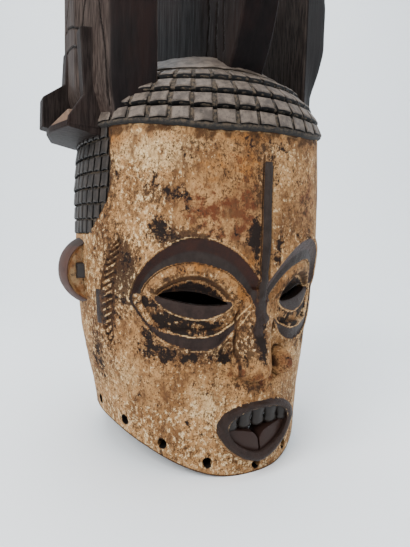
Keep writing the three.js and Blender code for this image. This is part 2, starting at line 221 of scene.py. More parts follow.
def grain(points, size, seed, octaves=3):
    """Uneven values from 0 to 1 in patches of about that size, or sizes along X, Y and Z."""
    lattice = np.random.default_rng(seed).random((24, 24, 24))
    total = 0
    for octave in range(octaves):
        place = points / (np.asarray(size) / 2**octave) + 7.3 * octave
        cell = np.floor(place).astype(int)
        part = place - cell
        part = part * part * (3 - 2 * part)
        for corner in np.ndindex(2, 2, 2):
            share = np.prod(np.where(corner, part, 1 - part), axis=-1)
            i, j, k = np.moveaxis((cell + corner) % 24, -1, 0)
            total = total + share * lattice[i, j, k] / 2**octave
    return total / (2 - 0.5 ** (octaves - 1))


# Outlines round an eye: mm outwards and upwards from its middle, from the inner corner over
# the top and back underneath.
EYE_ANGLE, EYE_HEIGHT, EYE_MM_PER_DEGREE, MM_PER_DEGREE = 26.9, 134.5, 1.98, 1.9
EYE_SLANT = 0.06
EYE_RINGS = [
    [(-23.5, -3.6), (-15, 0.8), (-3, 4.8), (12, 5.8), (27.5, 2), (12, -2.4), (0, -4.4), (-13, -5)],
    [(-30, -3), (-18, 10.5), (1.7, 17.5), (22, 12), (34, 1.5), (20, -9), (-2.5, -14.5), (-21, -11)],
    [(-44.5, -1), (-34, 12.5), (-16.5, 23), (9, 27), (32, 19), (44.8, 3), (33.6, -16.5),
     (17, -24.5), (-2.7, -28), (-18, -25.5), (-32, -18.5), (-38, -10)],
    [(-53, 7), (-35, 28.5), (-16, 40.5), (5, 43.5), (24, 36.5), (40.7, 23), (50.5, 5),
     (52.8, -1.5), (49, -7), (37, -20), (24.7, -29.5), (1, -36.5), (-18.4, -34.5),
     (-32, -22.5), (-41, -10), (-48, -1)]]
# Height of the carving across those rings: 1 is the slit, 2 the lid, 3 and 4 the dark brow.
OVER_EYE = {"ring": [1, 1.1, 1.25, 1.75, 1.97, 2.1, 2.5, 2.92, 3, 3.45, 3.95, 4.06, 4.2, 4.8],
            "proud": [-6, -5.4, -8.2, -7.6, -3.4, -2.4, -2.6, -4.2, -2.6, -2.9, 1.0, 2.6, 2.4, 0]}
UNDER_EYE = {"ring": [1, 1.1, 1.5, 1.95, 2.02, 2.1, 2.9, 2.98, 3.06, 3.5, 3.93, 4.0, 4.1, 4.6],
             "proud": [-6, -5.2, -3.8, -2.6, -2.2, -3.4, -3.2, -1.4, -1.9, -0.4, -0.2, 1.4, 1.6, 0]}


def outline(points, steps=16):
    """Smooth closed curve through the points."""
    p = np.asarray(points, float)
    before, after, beyond = np.roll(p, 1, 0), np.roll(p, -1, 0), np.roll(p, -2, 0)
    curve = []
    for t in np.arange(steps) / steps:
        curve.append(0.5 * (2 * p + (after - before) * t
                            + (2 * before - 5 * p + 4 * after - beyond) * t**2
                            + (3 * p - before - 3 * after + beyond) * t**3))
    return np.stack(curve, 1).reshape(-1, 2)


def eye_place(angle, z):
    return (np.abs(angle) - EYE_ANGLE) * EYE_MM_PER_DEGREE, z - EYE_HEIGHT


def eye_ring(angle, z):
    """0 in the middle of an eye, 1 to 4 on its outlines, and 1 more for each 10 mm beyond."""
    x, y = eye_place(angle, z)
    bearing, away = np.arctan2(y, x), np.hypot(x, y)
    reaches = []
    for ring in EYE_RINGS:
        curve = outline(ring)
        order = np.argsort(np.arctan2(curve[:, 1], curve[:, 0]))
        curve = curve[order]
        reaches.append(np.interp(bearing, np.arctan2(curve[:, 1], curve[:, 0]),
                                 np.hypot(*curve.T), period=2 * pi))
    ring = away / reaches[0]
    for i, (near, far) in enumerate(zip(reaches, reaches[1:])):
        ring = np.where(away > near, 1 + i + (away - near) / (far - near), ring)
    return np.where(away > reaches[3], 4 + (away - reaches[3]) / 10, ring)


NOSE = {"z": [70, 73, 77, 82, 90, 105, 120, 132, 142],
        "proud": [0, 6, 12.5, 14, 12.5, 9, 6, 3, 1],
        "half_angle": [3, 5.2, 7, 7.8, 7.7, 7.6, 7.6, 5, 3],
        "fullness": [2.6, 2.6, 2.6, 2.4, 2.2, 2.0, 1.8, 1.6, 2]}
# The nose was carved a little to one side of the ridge and is wider on its far side, where the
# larger of its wings is cut in all round.
NOSE_ANGLE, NOSE_FAR_SIDE, WING_PROUD = -1.8, 1.3, 12.5
NOSE_WINGS = [{"angle": -8.2, "height": 85, "half_width": 6.5, "half_height": 9, "cut_in": 0.3},
              {"angle": 13, "height": 84, "half_width": 8.4, "half_height": 10.5, "cut_in": 1}]
MUZZLE_PROUD, MUZZLE_HEIGHT, MUZZLE_TOP = 8, 62, 112
MOUTH_CORNERS, MOUTH_HALF_WIDTH, MOUTH_UP, MOUTH_DOWN = 40, 37, 18.8, 27.3
UPPER_FULLNESS, LOWER_FULLNESS = 2.2, 1.6
LIP_PROUD, LIP_TILT, LIP_INNER = 9.6, 0.05, 0.77
RIDGE_HALF_ANGLE, RIDGE_BOTTOM, RIDGE_TOP, RIDGE_PROUD = 1.5, 131, 233, 3


def mouth_ring(angle, z):
    """1 on the lips' outer edge, which is fuller above the corners than below them."""
    x, y = np.abs(angle) * MM_PER_DEGREE / MOUTH_HALF_WIDTH, z - MOUTH_CORNERS
    over = (x**UPPER_FULLNESS + np.abs(y / MOUTH_UP) ** UPPER_FULLNESS) ** (1 / UPPER_FULLNESS)
    under = (x**LOWER_FULLNESS + np.abs(y / MOUTH_DOWN) ** LOWER_FULLNESS) ** (1 / LOWER_FULLNESS)
    return np.where(y > 0, over, under)


def nose_share(angle, z):
    """0 on the middle of the nose and 1 on its edges."""
    share = (angle - NOSE_ANGLE) / np.interp(z, NOSE["z"], NOSE["half_angle"])
    return np.where(share > 0, share / NOSE_FAR_SIDE, -share)


def wing_share(wing, angle, z):
    """0 in the middle of a wing of the nose and 1 on its edge."""
    across = (angle - wing["angle"]) * MM_PER_DEGREE / wing["half_width"]
    return np.hypot(across, (z - wing["height"]) / wing["half_height"])


def carving(angle, z):
    """How far the carved face stands proud of the bare head."""
    ring = eye_ring(angle, z)
    over = np.interp(ring, OVER_EYE["ring"], OVER_EYE["proud"])
    under = np.interp(ring, UNDER_EYE["ring"], UNDER_EYE["proud"])
    x, y = eye_place(angle, z)
    proud = under + (over - under) * smooth(y - EYE_SLANT * x, -4, 4)

    # forehead ridge, which ends at the root of the nose, with a fine groove on each side
    across = np.abs(angle) / RIDGE_HALF_ANGLE
    ends = span(z, RIDGE_BOTTOM - 8, RIDGE_BOTTOM + 6, RIDGE_TOP - 6, RIDGE_TOP)
    ridge = RIDGE_PROUD * (1 - across**4) * ends
    proud = np.where(across < 1, np.maximum(proud, ridge), proud)
    proud = proud - 0.9 * ends * line(across, 1.25, 0.22)

    # muzzle and lips
    lip_x, lip_y = angle * MM_PER_DEGREE, z - MOUTH_CORNERS
    muzzle = MUZZLE_PROUD * line(lip_x, 0, 30) * line(z, MUZZLE_HEIGHT, 15)
    lips = mouth_ring(angle, z)
    lip = LIP_PROUD + LIP_TILT * lip_y
    roll = 1.2 * np.sin(pi * np.clip((lips - LIP_INNER) / (1 - LIP_INNER), 0, 1))
    outside = np.maximum(muzzle, (lip - 2.2) * line(lips, 1, 0.1))
    outside = np.maximum(proud, np.where(z < MUZZLE_TOP, outside, proud))
    proud = np.where(lips < 1, lip + roll, outside)
    proud = np.where(lips < LIP_INNER, lip - 40 * (LIP_INNER - lips), proud)

    # nose: a long wedge with two round wings
    share = nose_share(angle, z)
    height = np.interp(z, NOSE["z"], NOSE["proud"], left=0, right=0)
    fullness = np.interp(z, NOSE["z"], NOSE["fullness"])
    nose = height * (1 - np.clip(share, 0, 1) ** fullness)
    crease = 1.6 * line(share, 1.05, 0.09) * span(z, 72, 78, 122, 130)
    for wing in NOSE_WINGS:
        reach = wing_share(wing, angle, z)
        nose = np.maximum(nose, WING_PROUD * np.clip(1 - reach**3, 0, 1) ** 0.6)
        cut_in = 1.5 * wing["cut_in"] * line(reach, 1.07, 0.08)
        crease = np.maximum(crease, cut_in * (share > 1.02))
    beside = line(share, 1.5, 0.4) * span(z, 66, 80, 104, 122)
    proud = np.where(nose > 0, np.maximum(proud, nose), proud - 2.6 * beside * (share > 1))
    return proud - crease


# Scar like a leaf and dark bar on each temple
LEAF = {"z": [94, 110, 143, 160, 176], "angle": [63.8, 66.2, 65.6, 62.6, 58.8]}
LEAF_HALF_ANGLE, LEAF_HEIGHT, LEAF_HALF_HEIGHT, LEAF_CUT_SPACING, LEAF_CUT_DEPTH = 3.2, 135, 42, 5.4, 1.7
BAR_ANGLE, BAR_HALF_ANGLE, BAR_HEIGHT, BAR_HALF_HEIGHT = 70.3, 2.5, 124, 13.5


def leaf(angle, z):
    """0 on the scar's middle line and 1 on its edges, and its slanting cuts from 0 to 1."""
    roundness = 1 - ((z - LEAF_HEIGHT) / LEAF_HALF_HEIGHT) ** 2
    half = LEAF_HALF_ANGLE * np.sqrt(np.clip(roundness, 0.0001, 1))
    across = (np.abs(angle) - np.interp(z, LEAF["z"], LEAF["angle"])) / half
    cuts = 0.5 - 0.5 * np.cos(2 * pi * (z + 3 * across) / LEAF_CUT_SPACING)
    return np.abs(across), cuts


def temple_bar(angle, z):
    return ((np.abs(np.abs(angle) - BAR_ANGLE) < BAR_HALF_ANGLE)
            & (np.abs(z - BAR_HEIGHT) < BAR_HALF_HEIGHT))


def face_angle(points):
    """Angle from the middle of the nearer face, and whether that is the front one."""
    x, y, z = np.moveaxis(points, -1, 0)
    front = y <= 0
    side = np.where(front, 1, -1)
    return np.degrees(np.arctan2(side * x / half_width(z), -side * y / half_depth(z))), front


# Places where the clay has flaked: angle, height, half sizes in degrees and mm, and how much
FLAKED = [(-28, 93, 17, 7, 0.42), (-44, 101, 6, 10, 0.38), (-28, 114, 18, 6, 0.6),
          (-44, 211, 9, 5, 0.44), (-34, 206, 5, 4, 0.3), (-43, 184, 4, 6, 0.4),
          (-35, 178, 8, 5, 0.3), (-57, 150, 4, 22, 0.3), (-4.5, 190, 2.6, 40, 0.36),
          (-6, 178, 3.4, 9, 0.5), (6, 170, 3, 22, 0.4), (4, 244, 9, 6, 0.36), (22, 180, 8, 9, 0.4),
          (-1, 112, 3.2, 20, 0.62), (-66, 119, 7, 22, 0.3), (-80, 84, 7, 22, 0.32),
          (-15, 93, 5, 8, 0.5), (-49, 132, 3, 4, 0.5), (34, 95, 12, 8, 0.4), (-60, 221, 3, 9, 0.35),
          (-64, 133.5, 6, 1.1, 0.5), (-72, 168, 5, 16, 0.25)]


def patches(angle, z, places):
    """Sum of soft-edged patches."""
    total = 0
    for middle, height, half_angle, half_height, amount in places:
        away = ((angle - middle) / half_angle) ** 2 + ((z - height) / half_height) ** 2
        total = total + amount * np.exp(-away)
    return total


def loose(points, angle, z, front):
    """How loose the clay is: it has come off where this is over 0.4."""
    chance = np.where(front, patches(angle, z, FLAKED), patches(-angle, z + 6, FLAKED))
    spots = grain(points, (8, 8, 11), 11, 5)
    return np.clip(chance + 1.2 * (spots - 0.5), 0, 1)


# How far the hair over an ear reaches round the head from the ear, in degrees at each height
STRIP_EDGE = {"z": [176, 184, 194, 205, 215, 229, 240, 256],
              "angle": [9, 15, 20, 25, 26, 26.3, 25, 24]}


def strip_start(z):
    """Angle at which the hair over an ear begins."""
    return 90 - np.interp(z, STRIP_EDGE["z"], STRIP_EDGE["angle"])


def head_half(turn):
    """Solid half of the head with a face on it, which turn (0 or 180) points forwards or back."""
    angles = np.concatenate([np.linspace(-90, -62, 24, endpoint=False),
                             np.linspace(-62, 62, 320, endpoint=False), np.linspace(62, 90, 25)])
    heights = np.concatenate([np.linspace(0, 190, 184, endpoint=False),
                              np.linspace(190, 266, 50, endpoint=False), np.linspace(266, 318, 8)])
    angle, height = np.meshgrid(angles, heights)
    round_head = angle + turn
    z = height + rim_height(round_head) * np.clip(1 - height / ABOVE_MOUTH, 0, 1)
    bare = on_head(round_head, z)
    proud = carving(angle, z)
    across, cuts = leaf(angle, z)
    proud = proud - LEAF_CUT_DEPTH * cuts * smooth(-across, -1.05, -0.85)
    proud = proud + 0.5 * temple_bar(angle, z)

    # uneven by hand, except on the lips and less beside the eyes, and lower where clay is lost
    uneven = 1 - smooth(-np.abs(mouth_ring(angle, z) - 1), -0.3, -0.1)
    uneven = uneven * (1 - 0.8 * smooth(-eye_ring(angle, z), -5, -4))
    proud = proud + 1.8 * (grain(bare, 42, 3) - 0.5) * uneven + 0.5 * (grain(bare, 5, 4) - 0.5)
    front = np.full(angle.shape, turn == 0)
    proud = proud - 0.45 * smooth(loose(bare, angle, z, front), 0.36, 0.42)

    # sunk under the hair
    under_cap = smooth(z - hair_lift(round_head), HAIRLINE + 1, HAIRLINE + 4)
    proud = proud * (1 - under_cap) - 1.5 * under_cap
    start = strip_start(z)
    under_strip = smooth(np.abs(angle), start - 0.4, start + 0.6) * smooth(z, 178, 182)
    proud = proud * (1 - under_strip) - 3.2 * under_strip
    outer = on_head(round_head, z, proud)
    outer[..., 1] = np.clip(outer[..., 1], cad_low[1], cad_high[1])

    # the net is closed by a top, an underside and a flat face between the ears
    rows, columns = angle.shape
    under = outer[0] * [0.6, 0.6, 1]
    points = np.concatenate([outer.reshape(-1, 3), under, [[0, 0, CROWN]], [[0, 0, RIM_LIFT]]])
    last_row, first_under = (rows - 1) * columns, rows * columns
    top, bottom = len(points) - 2, len(points) - 1
    faces = quads(rows, columns)
    for i in range(columns - 1):
        faces += [[last_row + i, last_row + i + 1, top],
                  [first_under + i, first_under + i + 1, i + 1, i],
                  [bottom, first_under + i + 1, first_under + i]]
    faces.append([*range(0, first_under, columns), top, *range(first_under - 1, 0, -columns),
                  first_under + columns - 1, bottom, first_under])
    return points, faces


def tube(rings):
    """Closed skin over rings of as many points each, ended by flat faces."""
    count, size = len(rings), len(rings[0])
    ends = [list(range(size - 1, -1, -1)), list(range((count - 1) * size, count * size))]
    return np.concatenate(rings), quads(count, size, closed=True) + ends


def turned(points, angle):
    """Points turned about the upright axis, from facing the front to facing that angle."""
    c, s = np.cos(radians(angle)), np.sin(radians(angle))
    x, y, z = np.moveaxis(np.asarray(points, float), -1, 0)
    return np.stack([c * x - s * y, s * x + c * y, z], -1)


def outward(points, faces):
    """Faces of a closed skin, turned the right way out."""
    points = np.asarray(points, float)
    volume = 0
    for face in faces:
        corners = points[list(face)]
        volume += np.sum(corners[0] * np.cross(corners[1:-1], corners[2:]))
    return faces if volume > 0 else [list(face)[::-1] for face in faces]


def merged(parts):
    """One skin from several closed skins of points in millimetres."""
    points, faces = [], []
    for part_points, part_faces in parts:
        faces += [[i + len(points) for i in face] for face in outward(part_points, part_faces)]
        points += np.asarray(part_points).tolist()
    return np.array(points), faces


def made_plain(piece, modifier):
    """Gives a piece the mesh that its modifier makes of it, and takes the modifier off."""
    ready = piece.evaluated_get(bpy.context.evaluated_depsgraph_get())
    mesh = bpy.data.meshes.new_from_object(ready)
    piece.modifiers.remove(modifier)
    piece.data = mesh


def cut(piece, cutter):
    """Cuts one solid out of another for good."""
    modifier = piece.modifiers.new("cut", "BOOLEAN")
    modifier.operation, modifier.object, modifier.solver = "DIFFERENCE", cutter, "MANIFOLD"
    made_plain(piece, modifier)


def cutter_of(name, parts):
    """Solid without a material, for cutting with."""
    points, faces = merged(parts)
    mesh = bpy.data.meshes.new(name)
    mesh.from_pydata((points / 1000).tolist(), [], faces)
    cutter = bpy.data.objects.new(name, mesh)
    bpy.context.collection.objects.link(cutter)
    return cutter


# Openings: the hollow for the wearer's head is carved out from below. The eye slits and the
# mouths are cut through its wall, and cord holes are bored through it all round the rim.
PLUG_NEAR, PLUG_FAR = 60, 150
HOLE_ANGLES = [1, 22.5, 43, 62.5, 84, 112, 135, 157, 181, 203, 225, 247, 273.5, 294.5, 314.8, 335.9]
HOLE_RADIUS, HOLE_ABOVE_RIM, HOLE_RISE_AT_EARS = 3.9, 6.5, 7
HOLE_LIFT, HOLE_POWER = 26, 1.3


def plug(shape, angle):
    """Closed plug through the wall: points [x, z] of its shape, turned to face an angle."""
    shape = np.asarray(shape, float)
    middle = on_head(angle, shape[:, 1].mean())
    angle = np.degrees(np.arctan2(middle[0], -middle[1]))
    rings = [turned(np.stack([shape[:, 0], np.full(len(shape), -away), shape[:, 1]], -1), angle)
             for away in (PLUG_NEAR, PLUG_FAR)]
    return tube(rings)


def hole_height(angle):
    """Height of a cord hole's middle. The holes rise towards the ears less than the rim does."""
    at_ears = np.sin(np.radians(angle)) ** 4
    return rim_height(angle, HOLE_LIFT, HOLE_POWER) + HOLE_ABOVE_RIM + HOLE_RISE_AT_EARS * at_ears


cavity_angles = np.radians(np.arange(0, 360, 3.75))
roof = CROWN - WALL - HAIRLINE
cavity_rings = []
for z in [-8, 40, 90, 130, 170, 215, 254, *(HAIRLINE + roof * np.sin(np.linspace(0.15, 1.5, 12)))]:
    share = np.sqrt(1 - max(0, (z - HAIRLINE) / roof) ** 2)
    width, depth = (half_width(z) - WALL) * share, (half_depth(z) - WALL) * share
    cavity_rings.append(np.stack([width * np.sin(cavity_angles), -depth * np.cos(cavity_angles),
                                  np.full(len(cavity_angles), z)], -1))
hollow = cutter_of("hollow", [tube(cavity_rings)])

turns = np.linspace(0, 2 * pi, 49)[:-1]
fullness = np.where(np.sin(turns) > 0, UPPER_FULLNESS, LOWER_FULLNESS)
mouth_across, mouth_up = (np.sign(part) * np.abs(part) ** (2 / fullness)
                          for part in (np.cos(turns), np.sin(turns)))
mouth_up = np.where(mouth_up > 0, MOUTH_UP, MOUTH_DOWN) * mouth_up
mouth_shape = np.stack([0.93 * LIP_INNER * MOUTH_HALF_WIDTH * mouth_across,
                        MOUTH_CORNERS + 0.96 * LIP_INNER * mouth_up], -1)
mouths = cutter_of("mouths", [plug(mouth_shape, turn) for turn in (0, 180)])
slit_shape = outline(EYE_RINGS[0], 8)
slits = cutter_of("slits", [
    plug(slit_shape * [side, 1] + [0, EYE_HEIGHT], turn + side * EYE_ANGLE)
    for turn in (0, 180) for side in (-1, 1)])
hole_shape = HOLE_RADIUS * np.stack([np.cos(turns), np.sin(turns)], -1)
holes = cutter_of("cord holes", [
    plug(hole_shape + [0, hole_height(angle)], angle) for angle in HOLE_ANGLES])

# Clay paint over dark wood. What wears through is worked out for each point of the carving:
# bare polished wood on brows, ridge and lips, flakes, dirt in the cuts, and the raw hollow.
# Light and shade are painted too: shade in the nose's creases, along the rim's bottom edge, in
# the cord holes and over each eye slit, a highlight inside the upper lip and a grey sheen on the
# brows. The stains below are placed as the flakes are: red ground, ochre, pale clay and pits,
# with painted shade under the nose among the pits.
REDDENED = [(13, 83, 2.6, 8, 0.5), (-9, 82, 5, 7, 0.55), (-24, 200, 13, 14, 0.7),
            (-8, 196, 6, 26, 0.6), (24, 208, 14, 26, 0.5), (-14, 232, 6, 8, 0.35),
            (-52, 110, 10, 20, 0.3), (6, 84, 9, 9, 0.4), (-22, 180, 12, 8, 0.5), (0, 70, 22, 8, 0.4)]
OCHRE = [(-22, 226, 17, 20, 0.5), (-27, 162, 20, 8, 0.55), (-8, 232, 5, 18, 0.6),
         (-6, 150, 9, 40, 0.5), (-40, 80, 26, 26, 0.3), (-78, 226, 7, 20, 0.35),
         (0, 78, 14, 14, 0.5), (-62, 245, 6, 8, 0.5), (20, 150, 14, 60, 0.25),
         (-62, 190, 8, 30, 0.35), (0, 248, 60, 4, 0.4), (-50, 62, 14, 12, 0.25)]
PALE = [(-42, 236, 20, 16, 0.6), (-10, 226, 5, 14, 0.5), (-60, 70, 26, 22, 0.35),
        (40, 120, 20, 80, 0.4), (-22, 56, 9, 20, 0.45), (-18, 96, 4, 10, 0.5)]
# Among the pits, the patches at (-10, 72) and (0, 66) are painted shade under the nose
PITS_AND_SHADE = [(-55, 150, 7, 26, 0.8), (-10, 72, 18, 5, 0.45), (-30, 176, 12, 6, 0.9),
          (-22, 240, 30, 8, 0.4), (-66, 225, 7, 22, 0.7), (-28, 96, 26, 12, 0.6),
          (-44, 208, 10, 8, 0.6), (-4, 215, 4, 30, 0.6), (-34, 182, 12, 8, 0.5),
          (22, 200, 16, 36, 0.4), (-75, 90, 10, 34, 0.5), (-64, 165, 10, 45, 0.55),
          (-5, 108, 7, 26, 0.5), (-30, 124, 20, 8, 0.7), (0, 66, 12, 6, 0.4)]


def write_tones(piece, name, tones):
    """Writes four numbers from 0 to 1 for each point, or one for all four, as an attribute."""
    tones = np.clip(np.asarray(tones, float), 0, 1)
    layer = piece.data.attributes.new(name, "FLOAT_COLOR", "POINT")
    layer.data.foreach_set("color", np.repeat(tones, 4) if tones.ndim == 1 else tones.ravel())


def bare_wood(angle, z, ring, upper, wobble):
    """Where no clay is left: brow, arc and lid, ridge, bridge of the nose, lips and temple bar."""
    eye_x, _ = eye_place(angle, z)
    inner_edge, outer_edge = ring + 0.12 * wobble, 1 - smooth(ring + 0.05 * wobble, 3.97, 4.02)
    brow = smooth(inner_edge, 2.97, 3.03) * outer_edge * upper
    arc_start = 3 + 0.75 * smooth(eye_x, 10, 46)
    arc = (1 - upper) * smooth(eye_x + 3 * wobble, -37, -33) * outer_edge
    arc = arc * smooth(inner_edge, arc_start - 0.03, arc_start + 0.03)
    lid = (1 - upper) * (1 - smooth(ring + 0.1 * wobble, 1.92, 1.98)) * (z > ABOVE_MOUTH)
    fork = 1 - smooth(np.abs(angle + 0.4) + 5 * wobble, 3.2, 4.4)
    fork = fork * span(z, 112, 120, 137, 143)
    bridge = 1 - smooth(np.abs(angle + 2.4) + 9 * wobble, 1.4, 3.0)
    bridge = bridge * smooth(z, 97, 112) * (z < 130)
    lip = 1 - smooth(mouth_ring(angle, z) + 0.05 * wobble, 1.02, 1.06)
    return np.maximum.reduce([brow, arc, lid, on_ridge(angle, z), fork, 0.62 * bridge, lip,
                              temple_bar(angle, z) * 1.0])


def on_ridge(angle, z):
    across = np.abs(angle) < RIDGE_HALF_ANGLE * 1.1
    return 1.0 * (across & (z > RIDGE_BOTTOM - 4) & (z < RIDGE_TOP - 1))


def clay_edges_and_lip_highlight(angle, z, ring, upper, wobble, to_hair, above_rim):
    """Pale lines of clay left on the edges and between the cuts of the scar, and a painted highlight
    along the inner edge of the upper lip.
    """
    eye_x, _ = eye_place(angle, z)
    across, cuts = leaf(angle, z)
    worn_ring = ring + 0.05 * wobble
    return np.maximum.reduce([
        0.74 * line(worn_ring, 4.1, 0.08) * smooth(eye_x, -50, -40),
        0.6 * upper * line(worn_ring, 2.1, 0.1),
        0.8 * (1 - upper) * line(worn_ring, 2.04, 0.08),
        0.8 * (1 - upper) * line(worn_ring, 2.95, 0.065) * (eye_x < 20),
        0.65 * (across < 1) * (1 - smooth(cuts, 0.1, 0.4)),
        0.8 * line(to_hair + 3 * wobble, HAIRLINE - 1, 1.2),
        0.35 * (1 - smooth(above_rim, 1.5, 3.5)),
        # painted highlight along the upper lip's inner edge
        0.7 * (z > MOUTH_CORNERS) * line(mouth_ring(angle, z), 0.8, 0.02)])


def dirt_and_crease_shade(angle, z, ring, upper, wobble, to_hair, above_rim):
    """Dirt in the cuts, round the scar, under the hair and beside the ridge, and painted shade in the
    creases beside the nose and its wings and along the rim's bottom edge.
    """
    across, cuts = leaf(angle, z)
    beside_ridge = line(angle, -1.5 * RIDGE_HALF_ANGLE, 0.6)
    beside_ridge = beside_ridge + 0.7 * line(angle, 1.4 * RIDGE_HALF_ANGLE, 0.4)
    nose, start = nose_share(angle, z), strip_start(z)
    dirt_and_shade = np.maximum.reduce([
        1.3 * (across < 1) * smooth(cuts, 0.35, 0.6),
        1.2 * line(across, 1.15, 0.28),
        0.7 * upper * (ring > 1.7) * (1 - smooth(ring, 1.9, 2.25)),
        upper * line(ring, 2.93, 0.05),
        beside_ridge * (z > RIDGE_BOTTOM + 2) * (z < RIDGE_TOP + 3),
        # painted contact shadow along the rim's bottom edge
        0.9 * (1 - smooth(above_rim, 0.5, 1.8)),
        smooth(to_hair + 4 * wobble, HAIRLINE - 0.4, HAIRLINE + 0.8),
        0.7 * smooth(to_hair + 24 * wobble, HAIRLINE - 11, HAIRLINE),
        # painted shade in the creases beside the nose
        0.9 * line(nose, 1.05, 0.08) * (z > 78) * (z < 127),
        (z > 184) * smooth(np.abs(angle) + 2.5 * wobble, start - 1.6, start - 0.4)])
    # painted shade in the creases round the nose's wings
    for wing in NOSE_WINGS:
        beside_wing = 0.9 * wing["cut_in"] * line(wing_share(wing, angle, z), 1.06, 0.07)
        dirt_and_shade = np.maximum(dirt_and_shade, beside_wing * (nose > 1))
    return dirt_and_shade


def paint_head(piece):
    """Writes the wear, the painted light and shade and the tones of every point of the head as three
    colour attributes.
    """
    points = np.empty(len(piece.data.vertices) * 3)
    piece.data.vertices.foreach_get("co", points)
    points = points.reshape(-1, 3) * 1000
    angle, front = face_angle(points)
    x, y, z = points.T
    ring, wobble = eye_ring(angle, z), grain(points, 6, 21) - 0.5
    eye_x, eye_y = eye_place(angle, z)
    upper = smooth(eye_y - EYE_SLANT * eye_x, -2, 2)
    round_head = np.where(front, angle, angle + 180)
    to_hair, above_rim = z - hair_lift(round_head), z - rim_height(round_head)
    bare = bare_wood(angle, z, ring, upper, wobble)
    edge = clay_edges_and_lip_highlight(angle, z, ring, upper, wobble, to_hair, above_rim)
    dirt_and_shade = dirt_and_crease_shade(angle, z, ring, upper, wobble, to_hair, above_rim)

    # raw wood inside the hollow, painted near-black as shade in and round the cord holes and
    # from a shallower depth below the mouth
    share = np.sqrt(1 - np.clip((z - HAIRLINE) / (CROWN - HAIRLINE), 0, 0.98) ** 2)
    reach = np.hypot(x / (half_width(z) * share), y / (half_depth(z) * share))
    depth = -MEAN_RADIUS * (reach - 1)
    inside_and_hole_shade = np.where(z < ABOVE_MOUTH, smooth(depth, 2, 4), smooth(depth, 8, 10))
    for hole in HOLE_ANGLES:
        turn = (round_head - hole + 180) % 360 - 180
        from_hole = np.hypot(turn * MM_PER_DEGREE, z - hole_height(hole))
        inside_and_hole_shade = np.maximum(inside_and_hole_shade, from_hole < HOLE_RADIUS + 0.4)

    # flakes, stains and pits. The back face has them the other way round.
    flaked = loose(points, angle, z, front)
    under_eye = (ring > 2.05) * (ring < 2.95) * (1 - upper) * smooth(eye_x, -34, -26)
    chips = np.clip(0.4 + 1.5 * (grain(points, (11, 11, 5), 41) - 0.44), 0, 1)
    flaked = np.maximum(flaked, under_eye * chips)
    mirrored = np.where(front, angle, -angle)
    ochre = patches(mirrored, z, OCHRE) + 0.2 * upper * (ring > 2) * (ring < 3)
    red, pale = patches(mirrored, z, REDDENED), patches(mirrored, z, PALE)
    pits_and_shade = patches(mirrored, z, PITS_AND_SHADE) + 0.5 * upper * (ring > 1.7) * (ring < 2.4)
    pits_and_shade = pits_and_shade + 0.35 * line(above_rim, 13, 6)
    beside_bar = (np.abs(z - BAR_HEIGHT) < 16) * (np.abs(angle) > 67)
    # greyer bare wood on each brow's inner facet, partly as a painted sheen, and under the eyes, on the
    # ridge and beside the temple bars
    grey_and_sheen = upper * (1 - smooth(ring, 3.42, 3.52)) + (1 - upper) * 0.7
    grey_and_sheen = np.maximum.reduce([grey_and_sheen, beside_bar, on_ridge(angle, z)])
    # painted shade in the recess over each eye slit
    recess_shade = upper * (1 - smooth(ring, 1.3, 1.9)) * (z > ABOVE_MOUTH)
    write_tones(piece, "wear_and_shade", np.stack([bare, flaked, dirt_and_shade, inside_and_hole_shade], -1))
    write_tones(piece, "tone", np.stack([ochre, red, pale, edge], -1))
    write_tones(piece, "shade", np.stack([grey_and_sheen, recess_shade, pits_and_shade, np.ones(len(z))], -1))


def mix(tree, factor, first, second):
    """Colour between two, by a factor."""
    return add_node(tree, "ShaderNodeMix", {0: factor, 6: first, 7: second},
                    data_type="RGBA").outputs[2]


def between(tree, value, low, high, to_low=0.0, to_high=1.0):
    """Value carried smoothly from one range to another."""
    return add_node(tree, "ShaderNodeMapRange", {0: value, 1: low, 2: high, 3: to_low, 4: to_high},
                    interpolation_type="SMOOTHSTEP").outputs[0]


def calculate(tree, operation, first, second):
    return add_node(tree, "ShaderNodeMath", {0: first, 1: second}, operation=operation).outputs[0]


def mottle(tree, size, detail=4.0, roughness=0.55, stretch=(1, 1, 1), shift=0.0):
    """Noise over the piece with patches of about size millimetres, stretched along X, Y or Z."""
    place = add_node(tree, "ShaderNodeTexCoord").outputs["Object"]
    fitted = add_node(tree, "ShaderNodeMapping", {
        "Vector": place, "Location": (shift, shift, shift), "Scale": [1 / s for s in stretch]})
    return add_node(tree, "ShaderNodeTexNoise", {
        "Vector": fitted.outputs[0], "Scale": 1000 / size, "Detail": detail,
        "Roughness": roughness}).outputs["Fac"]


def split(tree, name):
    """The four channels of a colour attribute."""
    layer = add_node(tree, "ShaderNodeAttribute", attribute_name=name)
    parts = add_node(tree, "ShaderNodeSeparateColor", {0: layer.outputs["Color"]})
    return [*parts.outputs[:3], layer.outputs["Alpha"]]


def tinted(tree, under, tint, value, low, high, least=0.0, most=1.0):
    """Colour with a tint over it, from the least to the most, as a value rises from low to high."""
    return mix(tree, between(tree, value, low, high, least, most), under, colour(*tint))


def added(tree, first, second, share):
    """First value plus a share of the second's distance from a half."""
    apart = calculate(tree, "MULTIPLY", calculate(tree, "SUBTRACT", second, 0.5), share)
    return calculate(tree, "ADD", first, apart)


def roughened(tree, shader, height, metres, strength):
    """Fine relief of the surface."""
    bump = add_node(tree, "ShaderNodeBump", {"Height": height, "Distance": metres, "Strength": strength})
    tree.links.new(bump.outputs[0], shader.inputs["Normal"])


